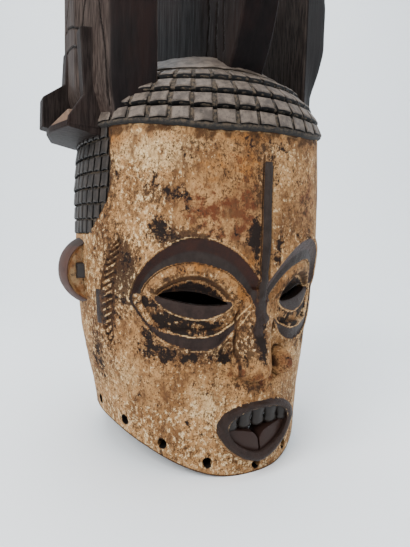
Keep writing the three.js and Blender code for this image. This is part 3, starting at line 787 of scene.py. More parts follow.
clay, tree, shader = new_material("worn clay paint", 0.8, 0.15)
bare, flaked, dirt_and_shade, inside_and_hole_shade = split(tree, "wear_and_shade")
ochre, red, pale, edge = split(tree, "tone")
grey_and_sheen, recess_shade, pits_and_shade, _ = split(tree, "shade")
blotches = mottle(tree, 24, 6, 0.65, (1, 1, 1.3))
wash = mottle(tree, 10, 8, 0.7, (1, 1, 1.2), 2.7)
clouds = mottle(tree, 6, 6, 0.7, (1, 1, 1.2), 0.4)
streaks = mottle(tree, 2.6, 5, 0.65, (1, 1, 4), 0.3)
speckle = mottle(tree, 1.3, 4, 0.7, (1, 1, 1.2), 0.7)
flecks = mottle(tree, 3.2, 8, 0.8, (1, 1, 1.2), 1.9)
flakes = mottle(tree, 3, 8, 0.8, (1, 1, 1.1), 1.1)

# the clay itself, from its ground to its stains and pits, with painted shade under the nose
# and over each eye slit
tan = tinted(tree, colour(158, 118, 76), (118, 82, 48), blotches, 0.4, 0.6)
tan = tinted(tree, tan, (184, 150, 106), added(tree, pale, clouds, 2.0), 0.15, 0.6)
tan = tinted(tree, tan, (138, 90, 44), added(tree, ochre, clouds, 2.4), 0.3, 0.85)
tan = tinted(tree, tan, (86, 44, 24), added(tree, red, clouds, 2.4), 0.3, 0.8)
tan = tinted(tree, tan, (86, 56, 33), wash, 0.5, 0.62, 0, 0.7)
rubbed_off = added(tree, added(tree, flecks, ochre, -0.14), red, -0.14)
tan = tinted(tree, tan, (216, 188, 144), rubbed_off, 0.655, 0.73, 0, 0.92)
tan = tinted(tree, tan, (60, 39, 24), added(tree, speckle, wash, 0.5), 0.38, 0.47, 0.85, 0)
tan = tinted(tree, tan, (70, 46, 28), added(tree, streaks, blotches, -0.6), 0.36, 0.44, 0.6, 0)
# dark pits, and painted shade under the nose
tan = tinted(tree, tan, (36, 24, 16), added(tree, pits_and_shade, flecks, -4.0), 0.35, 0.75, 0, 0.85)
# painted shade in the recess over each eye slit
tan = tinted(tree, tan, (18, 10, 7), added(tree, recess_shade, flecks, 3.0), 0.3, 0.7)

# dark ground under the flakes, and the bare wood, greyer on the brows partly as a painted sheen
flaking = added(tree, flaked, flakes, 2.6)
under = mix(tree, speckle, colour(14, 10, 9), colour(36, 26, 20))
skin = tinted(tree, tan, (76, 50, 31), flaking, 0.22, 0.38, 0, 0.8)
skin = mix(tree, between(tree, flaking, 0.37, 0.43), skin, under)
wood = mix(tree, grey_and_sheen, colour(45, 20, 11), colour(42, 34, 30))
wood = tinted(tree, wood, (25, 15, 11), clouds, 0.3, 0.7, 0, 0.8)
bared = between(tree, added(tree, bare, flakes, 0.7), 0.45, 0.6)
skin = mix(tree, bared, skin, wood)

# pale edges with a painted highlight inside the upper lip, dirt with painted shade in the
# nose's creases and along the rim, and the inside, near-black with painted shade in the holes
skin = tinted(tree, skin, (190, 156, 110), added(tree, edge, flecks, 1.6), 0.5, 0.8)
# near-black for dirt and for painted shade
grime_and_shade = tinted(tree, colour(16, 10, 7), (72, 46, 25), flecks, 0.4, 0.6)
skin = mix(tree, between(tree, added(tree, dirt_and_shade, flecks, 1.6), 0.3, 0.8), skin, grime_and_shade)
# raw wood inside, and painted shade in the holes
skin = mix(tree, inside_and_hole_shade, skin, colour(16, 11, 8))
tree.links.new(skin, shader.inputs["Base Color"])
tree.links.new(between(tree, bared, 0, 1, 0.85, 0.5), shader.inputs["Roughness"])
roughened(tree, shader, flecks, 0.0008, 0.7)

for name, turn in (("front_half", 0), ("back_half", 180)):
    points, faces = head_half(turn)
    half = new_mesh(name, points, outward(points, faces), clay)
    for cutter in (hollow, mouths, slits, holes):
        cut(half, cutter)
    half.data.shade_smooth()
    half.data.set_sharp_from_angle(angle=radians(42))
    paint_head(half)
    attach(half, "root")
    if turn == 0:
        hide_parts("helmet_mask")
for cutter in (hollow, mouths, slits, holes):
    bpy.data.objects.remove(cutter)

# Hair: a cap of four rows of wooden blocks, cut out of the dome by crossing grooves, and a
# strip of narrower blocks above each ear. Dust lies in the grooves and on the blocks. The
# blocks' sides, the slots under the rows and the underside of the cap's edge are painted
# near-black as shade.
PAINTED_GROOVE_SHADE = colour(6, 4, 4)


def hair_material(name, dark, light):
    material, tree, shader = new_material(name, 0.55, 0.3)
    tone = tinted(tree, colour(*dark), light, mottle(tree, 6, 4, 0.6), 0.35, 0.65)
    tone = tinted(tree, tone, (30, 25, 21), mottle(tree, 1.6, 3, 0.7), 0.34, 0.44, 0.6, 0)
    # the blocks' sides are painted near-black as shade
    tone = mix(tree, split(tree, "painted_shade")[0], tone, PAINTED_GROOVE_SHADE)
    tree.links.new(tone, shader.inputs["Base Color"])
    return material


cap_wood = hair_material("smooth hair blocks", (62, 53, 46), (98, 86, 76))
# darker than the cap's blocks, partly as painted shade on the sides of the head
strip_wood_with_painted_shade = hair_material("hair blocks over the ears", (28, 23, 20), (48, 41, 36))

groove_wood, tree, shader = new_material("dust and painted shade in the hair grooves", 0.9)
dust_and_painted_shading = tinted(tree, colour(22, 17, 13), (76, 63, 48), mottle(tree, 2.2, 4, 0.7), 0.42, 0.6)
# painted shade, near-black, in the slots and under the cap's edge
dust_and_painted_shading = mix(tree, split(tree, "painted_shade")[0], dust_and_painted_shading, PAINTED_GROOVE_SHADE)
tree.links.new(dust_and_painted_shading, shader.inputs["Base Color"])


def hair_block(name, bevel, wood):
    """A block 1 mm wide and high to be stretched, with its face at height 0, and a soft edge."""
    x = np.array([-0.5, -0.5 + bevel[0], 0, 0.5 - bevel[0], 0.5])
    y = np.array([-0.5, -0.5 + bevel[1], 0, 0.5 - bevel[1], 0.5])
    drop = np.array([1, 0.12, 0, 0.12, 1])
    arch = 0.1 * (1 - 4 * x**2)
    points = [(a, b + (c if b < -0.3 else 0), -bevel[2] * max(da, db))
              for b, db in zip(y, drop) for a, da, c in zip(x, drop, arch)]
    faces = quads(5, 5)
    grid = np.arange(25).reshape(5, 5)
    edge = np.concatenate([grid[0], grid[1:, -1], grid[-1, -2::-1], grid[-2:0:-1, 0]]).tolist()
    for depth in (-1.2 * bevel[2], -5):
        points += [(points[i][0], points[i][1], depth) for i in edge]
    for i in range(16):
        j = (i + 1) % 16
        faces += [[edge[j], edge[i], 25 + i, 25 + j], [25 + j, 25 + i, 41 + i, 41 + j]]
    faces.append(list(range(56, 40, -1)))
    block = new_mesh(name, np.array(points) * 1000, faces, wood, 50)
    # the sides and the skirt are painted near-black as shade in the grooves
    write_tones(block, "painted_shade", [0] * 25 + [1] * 32)
    return block


def rows_tree():
    """Node tree that stands a copy of one block on each point, turned and sized as it says."""
    tree = bpy.data.node_groups.new("blocks on points", "GeometryNodeTree")
    for label, kind in (("Points", "Geometry"), ("Block", "Object"), ("Wood", "Material")):
        tree.interface.new_socket(name=label, in_out="INPUT", socket_type=f"NodeSocket{kind}")
    tree.interface.new_socket(name="Blocks", in_out="OUTPUT", socket_type="NodeSocketGeometry")
    given = add_node(tree, "NodeGroupInput").outputs
    block = add_node(tree, "GeometryNodeObjectInfo", {"Object": given["Block"]})
    turn, size = (add_node(tree, "GeometryNodeInputNamedAttribute", {"Name": name},
                           data_type="FLOAT_VECTOR") for name in ("turn", "size"))
    points = add_node(tree, "GeometryNodeMeshToPoints", {"Mesh": given["Points"]})
    placed = add_node(tree, "GeometryNodeInstanceOnPoints", {
        "Points": points.outputs[0], "Instance": block.outputs["Geometry"],
        "Rotation": turn.outputs[0], "Scale": size.outputs[0]})
    real = add_node(tree, "GeometryNodeRealizeInstances", {0: placed.outputs[0]})
    dressed = add_node(tree, "GeometryNodeSetMaterial", {
        "Geometry": real.outputs[0], "Material": given["Wood"]})
    add_node(tree, "NodeGroupOutput", {0: dressed.outputs[0]})
    return tree


blocks_on_points = rows_tree()


def on_points(name, block, places, wood):
    """Piece made of one block at each place, given as (middle, three axes, three sizes)."""
    carrier = bpy.data.meshes.new(name)
    carrier.from_pydata([tuple(middle / 1000) for middle, _, _ in places], [], [])
    turns = [Matrix(np.stack(axes, 1).tolist()).to_euler() for _, axes, _ in places]
    sizes = [np.array(three) / 1000 for _, _, three in places]
    for label, values in (("turn", turns), ("size", sizes)):
        layer = carrier.attributes.new(label, "FLOAT_VECTOR", "POINT")
        layer.data.foreach_set("vector", np.array(values).ravel())
    rows = bpy.data.objects.new(name, carrier)
    bpy.context.collection.objects.link(rows)
    modifier = rows.modifiers.new("rows", "NODES")
    modifier.node_group = blocks_on_points
    inputs = {item.name: item.identifier for item in blocks_on_points.interface.items_tree}
    modifier[inputs["Block"]] = block
    modifier[inputs["Wood"]] = wood
    made_plain(rows, modifier)
    return rows


CAP_ROWS = [255.6, 267.1, 277.7, 289.1, 300]
CAP_COLUMNS, CAP_GROOVE_ANGLE, CAP_LEVEL_FROM = 44, 2.2, 303
CAP_PROUD, CAP_LEAN, CAP_SHARE = 3.2, 0.16, (0.76, 0.82)
STRIP_BOTTOM, STRIP_ROWS, STRIP_ROW, STRIP_COLUMN = 179, 8, 11.6, 4.7
STRIP_PROUD, STRIP_LEAN, STRIP_FLATNESS = 0.8, 0.07, 0.8
STRIP_SHARE, STRIP_ROW_SHARE = (0.78, 0.86), (0.88, 0.93)


def cap_height(angle, z):
    """Height of a row of the cap, whose rim rises above the ears while its top stays level."""
    return z + hair_lift(angle) * np.clip((CAP_LEVEL_FROM - z) / 48, 0, 1)


def level(angle, z):
    """Height of a row that is as high all round the head."""
    return z


def stand_on_head(angle, z, proud, lean, seed, row_height=level):
    """Middle and axes of a block on the head: along the row, up the head and outwards."""
    step = 0.5
    left, right = (on_head(a, row_height(a, z), proud) for a in (angle - step, angle + step))
    below, above = (on_head(angle, row_height(angle, h), proud) for h in (z - step, z + step))
    along, up = right - left, above - below
    along, up = along / np.linalg.norm(along), up / np.linalg.norm(up)
    out = np.cross(along, up)
    rock = np.random.default_rng(seed).normal(0, 0.02, 2)
    up = up - (lean + rock[0]) * out + rock[1] * along
    up /= np.linalg.norm(up)
    along = along - (along @ up) * up
    along /= np.linalg.norm(along)
    return on_head(angle, row_height(angle, z), proud), (along, up, np.cross(along, up))


def room_along(angle, z, pitch, proud):
    """Distance between the middles of the grooves beside a block, in mm along its row."""
    left, right = (on_head(angle + s * pitch / 2, z, proud) for s in (-1, 1))
    return np.linalg.norm(right - left)


def cap_blocks():
    """Places of the cap's blocks, each filling a share of the room between its grooves."""
    pitch = 360 / CAP_COLUMNS
    places = []
    for row, (bottom, top) in enumerate(zip(CAP_ROWS, CAP_ROWS[1:])):
        for column in range(CAP_COLUMNS):
            angle = CAP_GROOVE_ANGLE + (column + 0.5) * pitch
            z = (bottom + top) / 2
            low, high = (on_head(angle, cap_height(angle, h), CAP_PROUD) for h in (bottom, top))
            chance = np.random.default_rng(100 * row + column)
            width = room_along(angle, cap_height(angle, z), pitch, CAP_PROUD)
            width = width * chance.uniform(*CAP_SHARE)
            height = np.linalg.norm(high - low) * chance.uniform(*CAP_SHARE)
            place, axes = stand_on_head(angle + chance.normal(0, 0.15), z + 0.9, CAP_PROUD, CAP_LEAN,
                                        7 * row + column, cap_height)
            places.append((place, axes, (width, height, 1)))
    return places


def strip_blocks():
    """Places of the blocks over both ears. The lowest rows are the shortest."""
    places = []
    for side in (90, 270):
        for row in range(STRIP_ROWS):
            z = STRIP_BOTTOM + (row + 0.5) * STRIP_ROW
            reach = np.interp(z, STRIP_EDGE["z"], STRIP_EDGE["angle"])
            count = int(round(2 * reach / STRIP_COLUMN))
            pitch = 2 * reach / count
            for column in range(count):
                angle = side - reach + (column + 0.5) * pitch
                chance = np.random.default_rng(1000 + side + 20 * row + column)
                width = room_along(angle, z, pitch, STRIP_PROUD) * chance.uniform(*STRIP_SHARE)
                height = STRIP_ROW * chance.uniform(*STRIP_ROW_SHARE)
                place, axes = stand_on_head(angle, z, STRIP_PROUD, STRIP_LEAN, 31 * row + column + side)
                places.append((place, axes, (width, height, STRIP_FLATNESS)))
    return places


SHELL_ANGLES = np.arange(0, 360, 1.5)


def shell(name, levels, material, painted_shade=None, rise=0.0):
    """Thin raised surface round the head: levels are (height, proud), and its top can be raised.
    Its painted shade says how near-black each level is painted, as shade in the slots."""
    rings = [on_head(SHELL_ANGLES, cap_height(SHELL_ANGLES, z), proud) for z, proud in levels]
    points = np.concatenate(rings)
    points = points + (0.5 * (grain(points, 4, 51) - 0.5))[:, None] * points / MEAN_RADIUS
    points[:, 2] += rise * smooth(points[:, 2], CAP_LEVEL_FROM, 317)
    faces = quads(len(levels), len(SHELL_ANGLES), closed=True)
    piece = new_mesh(name, points, faces, material, 50)
    if painted_shade is not None:
        write_tones(piece, "painted_shade", np.repeat(painted_shade, len(SHELL_ANGLES)))
    return piece


def strip_bed(name, side):
    """Dirty ground between the blocks over an ear, from edge to edge at each height."""
    heights = np.linspace(STRIP_BOTTOM - 1, 267, 46)
    shares = np.array([-1.04, -1, -0.6, -0.2, 0.2, 0.6, 1, 1.04])
    proud = np.array([-4, -1.2, -1.2, -1.2, -1.2, -1.2, -1.2, -4])
    rows = [on_head(side + shares * reach, np.full(len(shares), z), proud)
            for z, reach in zip(heights, np.interp(heights, STRIP_EDGE["z"], STRIP_EDGE["angle"]))]
    return new_mesh(name, np.concatenate(rows), quads(len(rows), len(shares)), groove_wood, 50)


cap_block = hair_block("cap block", (0.07, 0.08, 0.7), cap_wood)
strip_block = hair_block("strip block", (0.14, 0.07, 0.8), strip_wood_with_painted_shade)
# the underside of the cap's edge is painted near-black as shade
edge_levels = [(253, -3), (254, 0.6), (254.8, 2.3), (255.6, 3.0), (256.8, 2.9), (258, 2.0),
               (259, 0.4)]
bed_heights = np.linspace(257, 305, 97)
# the bed is painted near-black along each row's lower edge as the shade of the slot
bed_painted_shade = sum(line(bed_heights, row, 1.0) for row in CAP_ROWS[1:])
crown_levels = [(299.5, -4), (300.8, 2.0), (302, 3.3), (303.5, 3.4)]
crown_levels += [(z, 3.4) for z in (*np.linspace(305, 320.6, 12), 320.95)]
hair = [shell("cap_edge", edge_levels, groove_wood, [0.9, 0.9, 0.8, 0.6, 0.2, 0, 0]),
        shell("cap_bed", list(zip(bed_heights, 1.9 - 3.4 * bed_painted_shade)), groove_wood, bed_painted_shade),
        shell("crown", crown_levels, cap_wood, rise=5.5),
        on_points("hair_cap", cap_block, cap_blocks(), cap_wood),
        on_points("hair_strips", strip_block, strip_blocks(), strip_wood_with_painted_shade),
        strip_bed("strip_bed_90", 90), strip_bed("strip_bed_270", 270)]
for block in (cap_block, strip_block):
    bpy.data.objects.remove(block)
for piece in hair:
    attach(piece, "root")

# Crest: a thick fin from face to face, and a horn over each ear, carved in one with the head
# and left as bare dark wood. Lines are cut into the outer faces of the horns. Their sides are
# painted lighter and their fronts and backs darker, partly as painted light and shade.
CREST_SHIFT, CHAMFER = 4, 1.6
crest_wood, tree, shader = new_material("dark carved wood", 0.55, 0.07)
# sides turned along X take a lighter dusty tone and the rest a near-black one: partly dust, partly
# painted light and painted shade
side_dust_and_light, cut_line, _, _ = split(tree, "tone")
long_grain = mottle(tree, 3.5, 5, 0.6, (1, 1, 9), 0.2)
stain = mottle(tree, 38, 4, 0.6, (1, 1, 2.5), 0.9)
fine_grain = mottle(tree, 1.2, 5, 0.65, (1, 1, 12), 0.6)
polished_shaded_wood = tinted(tree, colour(6, 3, 3), (15, 9, 9), long_grain, 0.3, 0.66)
polished_shaded_wood = tinted(tree, polished_shaded_wood, (25, 11, 8), stain, 0.48, 0.66, 0.0, 0.7)
lit_dusty_sides = tinted(tree, colour(33, 26, 23), (68, 58, 53), fine_grain, 0.36, 0.62)
lit_dusty_sides = tinted(tree, lit_dusty_sides, (42, 31, 27), stain, 0.5, 0.7, 0.0, 0.6)
wood = mix(tree, side_dust_and_light, polished_shaded_wood, lit_dusty_sides)
wood = mix(tree, cut_line, wood, colour(4, 3, 3))
tree.links.new(wood, shader.inputs["Base Color"])
roughened(tree, shader, long_grain, 0.0007, 0.5)


def incision(points, away, path, half):
    """Depth from 0 to 1 of a line cut along a path, measured across the surface it lies on."""
    near = np.full(len(points), np.inf)
    path = np.asarray(path, float)
    for start, end in zip(path, path[1:]):
        along = end - start
        share = np.clip(((points - start) @ along) / (along @ along), 0, 1)
        apart = points - start - share[:, None] * along
        off = np.sum(apart * away, axis=1)
        beside = np.linalg.norm(apart - off[:, None] * away, axis=1)
        near = np.minimum(near, np.where(np.abs(off) < 5, beside, np.inf))
    return np.clip(1 - (near / half) ** 2, 0, 1)


def column(name, plan, heights, counts, dust_and_painted_shading, lines):
    """Carved block with flat sides, given its plan at each height, the points on each side, and
    the lines cut into it as (path, depth, half width)."""
    rings, away = [], []
    for z in heights:
        corners = np.asarray(plan(z), float)
        ring, normals = [], []
        for start, end, count in zip(corners, np.roll(corners, -1, 0), counts):
            side = end - start
            length = np.linalg.norm(side)
            inset = min(CHAMFER / length, 0.3)
            shares = np.linspace(inset, 1 - inset, count)[:, None]
            ring.append(start + shares * side)
            normals.append(np.repeat([[side[1] / length, -side[0] / length]], count, 0))
        ring, normals = np.concatenate(ring), np.concatenate(normals)
        rings.append(np.column_stack([ring, np.full(len(ring), z)]))
        away.append(np.column_stack([normals, np.zeros(len(ring))]))
    points, faces = tube(rings)
    away = np.concatenate(away)
    lift = 1.6 * (grain(points, (24, 24, 60), 61) - 0.5) + 0.5 * (grain(points, (3, 3, 26), 62) - 0.5)
    incised = np.zeros(len(points))
    for path, depth, half in lines:
        cut_in = incision(points, away, path, half)
        incised = np.maximum(incised, cut_in)
        lift = lift - depth * cut_in
    points = points + np.where(points[:, 2:] < heights[-1] - 0.5, lift[:, None] * away, 0)
    piece = new_mesh(name, points, outward(points, faces), crest_wood, 38)
    # sides turned along X are painted lighter, as dust and as painted light
    lit_dusty_sides = dust_and_painted_shading * smooth(np.abs(away[:, 0]), 0.6, 0.85)
    write_tones(piece, "tone", np.stack([lit_dusty_sides, incised, lit_dusty_sides, np.ones(len(lit_dusty_sides))], -1))
    return piece


FIN_TOP, FIN_LEFT, FIN_RIGHT = cad_high[2], -12.5, 17.5
FIN_FRONT = {"z": [296, 304, 316, 330, 346, 366, 388, 408, 423, 432, 436],
             "y": [76, 77, 84, 90, 95, 99, 100, 96, 82, 56, 20]}


def fin_plan(z):
    """Plan of the fin at a height, with points in the middle of its long sides."""
    y = np.interp(z, FIN_FRONT["z"], FIN_FRONT["y"])
    return [(FIN_LEFT, -y), (FIN_RIGHT, -y), (FIN_RIGHT, 0), (FIN_RIGHT, y), (FIN_LEFT, y), (FIN_LEFT, 0)]


fin_heights = [*np.linspace(296, 400, 90), *np.linspace(402, FIN_TOP, 34)]
cracks = [([(FIN_LEFT, -58, 306), (FIN_LEFT, -55, 330), (FIN_LEFT, -56, 356)], 1.2, 1.0),
          ([(FIN_LEFT, -68, 318), (FIN_LEFT, -66, 345), (FIN_LEFT, -69, 380)], 1.0, 0.9),
          ([(FIN_LEFT, -41, 322), (FIN_LEFT, -43, 350), (FIN_LEFT, -40, 392)], 1.1, 0.9),
          ([(FIN_RIGHT, 40, 330), (FIN_RIGHT, 44, 360), (FIN_RIGHT, 41, 400)], 1.1, 1.0)]
fin = column("fin", fin_plan, fin_heights, [14, 70, 70, 14, 70, 70], 0.2, cracks)

# The horns differ: side -1 is the left one, which is deeper and swells out lower down. A swell
# is the heights from and to which it grows, and how much its tip and its corners gain.
HORN_INNER, HORN_HALF_DEPTH = {-1: 70.4, 1: 66}, {-1: 70.2, 1: 64}
HORN_SWELL = {-1: (258, 290, 10, 3.5), 1: (288, 352, 18, 16)}
HORN_BOTTOM, HORN_SHOULDER, HORN_TOP, HORN_REACH, HORN_CORNER = 258, 380, 424, 116, 100


def on_side(side, shape):
    """Shape for the right side, or its mirror image for side -1, with its points in reverse
    order so that they still go round the same way."""
    shape = np.asarray(shape, float)
    shape = shape if side > 0 else shape[::-1]
    return shape * [side, *[1] * (shape.shape[1] - 1)]


def horn_plan(side):
    """Plan of a horn for each height: its inner corner, outer corner and tip, front and back."""
    def plan(z):
        t = np.clip((z - HORN_SHOULDER) / (HORN_TOP + 6 - HORN_SHOULDER), 0, 1)
        round_off = 1 - np.sqrt(1 - t * t)
        foot, full, reach_in, corner_in = HORN_SWELL[side]
        narrow = 1 - smooth(z, foot, full)
        reach = HORN_REACH - reach_in * narrow - 34 * round_off
        corner = HORN_CORNER - corner_in * narrow - 20 * round_off
        depth = HORN_HALF_DEPTH[side] - 30 * round_off
        front = [(HORN_INNER[side], -depth), (corner, -0.77 * depth), (reach, -0.265 * depth)]
        back = [(x, -y) for x, y in front[::-1]]
        return on_side(side, front + back) + [CREST_SHIFT, 0]
    return plan


# Lines cut into the left horn; the right one carries their mirror image
HORN_LINES = [
    [(-97, -46.5, 400), (-99, -44, 370), (-99.4, -43.2, 342.5), (-98.7, -44.4, 332.2),
     (-97.4, -46.9, 320.3), (-96.4, -49, 307.8), (-95.8, -50.2, 292.9), (-95.7, -50.4, 270.5)],
    [(-104, -34, 376), (-104.8, -32.6, 358), (-105.8, -30.7, 346.2), (-106.8, -28.7, 338.7),
     (-107.7, -27, 328.2)],
    [(-112, -12, 376), (-112, -2.9, 356.7), (-112, 5.9, 345.7), (-112, 10.8, 337.1)],
    [(-112, 8.8, 337.1), (-112, 2.7, 337.8), (-112, -12.1, 333.6), (-109, -24.5, 328),
     (-107, -28.5, 323)],
    [(-112, 12.3, 321.7), (-112, 0.3, 321.4), (-112, -14.5, 318.9), (-109, -24.5, 315),
     (-107, -28.5, 310), (-104.5, -33.4, 298), (-103, -36.4, 284)]]
horn_heights = [*np.linspace(HORN_BOTTOM, HORN_SHOULDER, 150), *np.linspace(382, HORN_TOP, 34)]
horns = []
for side, name in ((-1, "left_horn"), (1, "right_horn")):
    shallower = HORN_HALF_DEPTH[side] / HORN_HALF_DEPTH[-1]
    lines = [([(-side * (x - CREST_SHIFT) + CREST_SHIFT, shallower * y, z) for x, y, z in path], 1.4, 1.0)
             for path in HORN_LINES]
    horns.append(column(name, horn_plan(side), horn_heights, [12, 64, 56, 64, 12, 8], 1, lines))

# Ledges: at the foot of each horn two upright ribs and a low wall hold a trough. They are
# sawn more sharply than the rest.
LEDGE_BOTTOM, LEDGE_THICKNESS, LEDGE_ROOT, LEDGE_TIP, RIB_TOP = 256, 4.5, 90, cad_high[0], 325
LEDGE_FRONT, LEDGE_BACK, LEDGE_DUST = -37.4, 38, 0.35
rubbed_wood, tree, shader = new_material("rubbed ledge wood", 0.6)
rubbed = mix(tree, mottle(tree, 2.5, 5, 0.65, (1, 4, 1)), colour(60, 40, 28), colour(128, 98, 74))
tree.links.new(rubbed, shader.inputs["Base Color"])


def bevelled(name, rings, width, wood):
    """Closed block over rings of points, with its edges worn round."""
    points, faces = tube(rings)
    piece = new_mesh(name, points, outward(points, faces), wood)
    bevel = piece.modifiers.new("worn edges", "BEVEL")
    bevel.width, bevel.segments, bevel.limit_method = width / 1000, 2, "ANGLE"
    made_plain(piece, bevel)
    write_tones(piece, "tone", np.tile([LEDGE_DUST, 0, 0, 1], (len(piece.data.vertices), 1)))
    return piece


def rib(name, shape, near, far):
    """Upright slab: an outline of [x, z] points from y = near to y = far."""
    rings = [np.column_stack([shape[:, 0], np.full(len(shape), y), shape[:, 1]]) for y in (near, far)]
    return bevelled(name, rings, 0.9, crest_wood)


ledges = []
for side, name in ((-1, "left"), (1, "right")):
    # the right ledge's front corner is cut back
    corner, set_back = (122, 0) if side < 0 else (108, 13)
    front_rib = [(LEDGE_ROOT, LEDGE_BOTTOM), (corner, LEDGE_BOTTOM + 1), (corner - 1, LEDGE_BOTTOM + 7),
                 (110, 279), (112, RIB_TOP), (LEDGE_ROOT, RIB_TOP + 3)]
    back_rib = [(LEDGE_ROOT, LEDGE_BOTTOM), (LEDGE_TIP, LEDGE_BOTTOM + 7), (LEDGE_TIP - 1, 286),
                (114, 298), (112, RIB_TOP), (LEDGE_ROOT, RIB_TOP + 3)]
    plan = on_side(side, [(LEDGE_ROOT, LEDGE_FRONT), (corner - 0.5, LEDGE_FRONT + set_back),
                          (LEDGE_TIP - 3, -9), (LEDGE_TIP - 3, 9), (corner - 0.5, LEDGE_BACK),
                          (LEDGE_ROOT, LEDGE_BACK)])
    floor = []
    for z, inset in ((LEDGE_BOTTOM - 4, 20), (LEDGE_BOTTOM, 0), (LEDGE_BOTTOM + LEDGE_THICKNESS, 0)):
        x = plan[:, 0] - side * inset * (np.abs(plan[:, 0]) > LEDGE_ROOT)
        floor.append(np.column_stack([x, plan[:, 1], np.full(len(plan), z)]))
    wall = on_side(side, [(corner - 12, set_back - 36.6, 11), (corner - 1, set_back - 36.6, 11),
                          (LEDGE_TIP - 3.6, -8.6, 4), (LEDGE_TIP - 15, -8.6, 4)])
    wall = [np.column_stack([wall[:, :2], LEDGE_BOTTOM + 1 + share * wall[:, 2]]) for share in (0, 1)]
    ledges += [rib(f"{name}_front_rib", on_side(side, front_rib), set_back - 38, set_back - 25),
               rib(f"{name}_back_rib", on_side(side, back_rib), 9, 25),
               bevelled(f"{name}_ledge", floor, 0.8, crest_wood),
               bevelled(f"{name}_ledge_wall", wall, 0.8, rubbed_wood)]
for piece in [fin, *horns, *ledges]:
    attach(piece, "root")

# Ears: a flat bowl with a thick rolled rim on each side, with a square boss in the middle.
# They are carved in one with the head, and both faces share them.
EAR_HEIGHT, EAR_HALF_HEIGHT, EAR_REACH, EAR_HALF_DEPTH = 150, 28, 22, 16
EAR_BOWL, EAR_BOSS, EAR_BOSS_OUT, EAR_ROOTED = 8.5, 14, 9.5, 9
ear_wood, tree, shader = new_material("ear with rubbed clay", 0.75)
ear_rim, ear_boss, ear_top, _ = split(tree, "tone")
flecks = mottle(tree, 2.4, 5, 0.75)
ear_tone = tinted(tree, colour(128, 82, 42), (160, 128, 88), mottle(tree, 7, 5, 0.65), 0.42, 0.56)
ear_tone = tinted(tree, ear_tone, (60, 36, 22), flecks, 0.38, 0.46, 0.9, 0)
reddish = mix(tree, mottle(tree, 5, 4), colour(40, 20, 13), colour(70, 40, 27))
ear_tone = mix(tree, between(tree, added(tree, ear_rim, flecks, 1.5), 0.4, 0.7), ear_tone, reddish)
ear_tone = tinted(tree, ear_tone, (34, 29, 27), added(tree, ear_boss, flecks, 1.0), 0.4, 0.6)
ear_tone = tinted(tree, ear_tone, (40, 26, 20), added(tree, ear_top, flecks, 1.5), 0.4, 0.7)
tree.links.new(ear_tone, shader.inputs["Base Color"])


def ear(name, side):
    """Ear whose front and back are laid out by bearing and by share of the way to its rim."""
    bearings = np.radians(np.linspace(-112, 112, 90))
    shares = np.concatenate([np.linspace(0, 0.8, 30), 0.8 + 0.2 * np.sin(np.linspace(0.1, pi / 2, 12))])
    bearing, share = np.meshgrid(bearings, shares, indexing="ij")
    root = half_width(EAR_HEIGHT) - EAR_ROOTED
    x = root + (EAR_REACH + 4) * share * np.cos(bearing) * np.where(np.cos(bearing) > 0, 1, 0.3)
    z = EAR_HEIGHT + EAR_HALF_HEIGHT * share * np.sin(bearing)
    thick = EAR_BOWL + (EAR_HALF_DEPTH - EAR_BOWL) * smooth(share, 0.74, 0.88)
    thick = thick * np.sqrt(np.clip(1 - np.clip((share - 0.8) / 0.2, 0, 1) ** 2.2, 0, 1))
    boss = 1 - smooth(np.abs(x - root - EAR_BOSS_OUT), 4.5, 6)
    boss = boss * (1 - smooth(np.abs(z - EAR_HEIGHT), 5.5, 7))
    thick = np.maximum(thick, EAR_BOSS * boss)
    front, back = (np.stack([side * x, y, z], -1) for y in (-thick, thick))
    points = np.concatenate([front, back[:, ::-1][:, 1:]], 1)
    faces = quads(*points.shape[:2])
    points = points.reshape(-1, 3)
    points = points + 0.9 * (grain(points, 9, 71)[:, None] - 0.5)
    faces = faces if side < 0 else [face[::-1] for face in faces]
    piece = new_mesh(name, points, faces, ear_wood, 60)
    top = smooth(z, EAR_HEIGHT + 14, EAR_HEIGHT + 24)
    tones = np.stack([smooth(share, 0.76, 0.92), boss, top, np.ones_like(top)], -1)
    write_tones(piece, "tone", np.concatenate([tones, tones[:, ::-1][:, 1:]], 1))
    return piece


for side, name in ((-1, "left_ear"), (1, "right_ear")):
    piece = ear(name, side)
    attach(piece, "root")

# Mouths: short pegs of teeth hang from the upper lip, and two lobes rise from the lower one
# with a notch between them. All are carved in one with the head and left as bare wood.
lobe_wood = plain_material("reddish mouth wood", colour(40, 25, 20), 0.5, 0.2)
tooth_wood = plain_material("dark tooth wood", colour(34, 29, 26), 0.35, 0.2)
MOUTH_FACE, LOBE_REACH, TOOTH_BOTTOM, TOOTH_PITCH = 108, 27.5, 37.4, 11.8
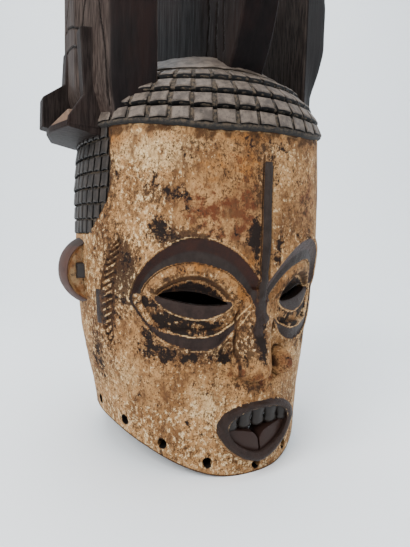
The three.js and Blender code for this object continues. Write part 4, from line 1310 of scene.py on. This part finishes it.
# Half widths of a tooth at shares of its length above its worn end
TOOTH_SHARES, TOOTH_HALVES = (1, 0.7, 0.54, 0.36, 0.2, 0.07, 0), (6.4, 6.4, 5.7, 4.9, 6.0, 5.4, 3.6)


def mouth_lobe(side):
    """Leaf-shaped lobe that leans into the mouth."""
    rings = []
    for x in np.linspace(0.8, LOBE_REACH, 18):
        top = np.interp(x, [0.8, 2, 5, 12, LOBE_REACH], [29, 31.5, 34.6, 36.6, 39.5])
        bottom = np.interp(x, [0, 15, LOBE_REACH], [18, 23, 34])
        y = -MOUTH_FACE - 1.5 + 5 * (x / LOBE_REACH) ** 2
        rings.append([(side * x, y + 1, bottom), (side * x, y - 0.5, 0.6 * bottom + 0.4 * top),
                      (side * x, y + 1.2, top), (side * x, y + 4, top + 0.4),
                      (side * x, y + 15, top + 1.5), (side * x, y + 15, bottom)])
    return tube(np.array(rings, float))


def mouth_tooth(i):
    """Peg that hangs from the upper lip, the middle one for 0."""
    x = 1.9 + TOOTH_PITCH * i
    across = (abs(x) / (MOUTH_HALF_WIDTH * LIP_INNER)) ** UPPER_FULLNESS
    reach = np.clip(1 - across, 0, 1) ** (1 / UPPER_FULLNESS)
    top = MOUTH_CORNERS + 2 + LIP_INNER * MOUTH_UP * reach
    turns = np.linspace(0, 2 * pi, 17)[:-1]
    rings = []
    for share, half in zip(TOOTH_SHARES, TOOTH_HALVES):
        z = TOOTH_BOTTOM + share * (top - TOOTH_BOTTOM)
        y = -MOUTH_FACE + 3 + 0.12 * (57 - z)
        rings.append(np.column_stack([x + half * np.cos(turns), y + 0.6 * half * np.sin(turns),
                                      np.full(len(turns), z)]))
    return tube(rings)


teeth, lobes = merged([mouth_tooth(i) for i in range(-2, 3)]), merged([mouth_lobe(-1), mouth_lobe(1)])
for turn, name in ((0, "front"), (180, "back")):
    for kind, (points, faces), wood in (("teeth", teeth, tooth_wood), ("lobes", lobes, lobe_wood)):
        piece = new_mesh(f"{name}_{kind}", turned(points, turn), faces, wood, 50)
        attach(piece, "root")
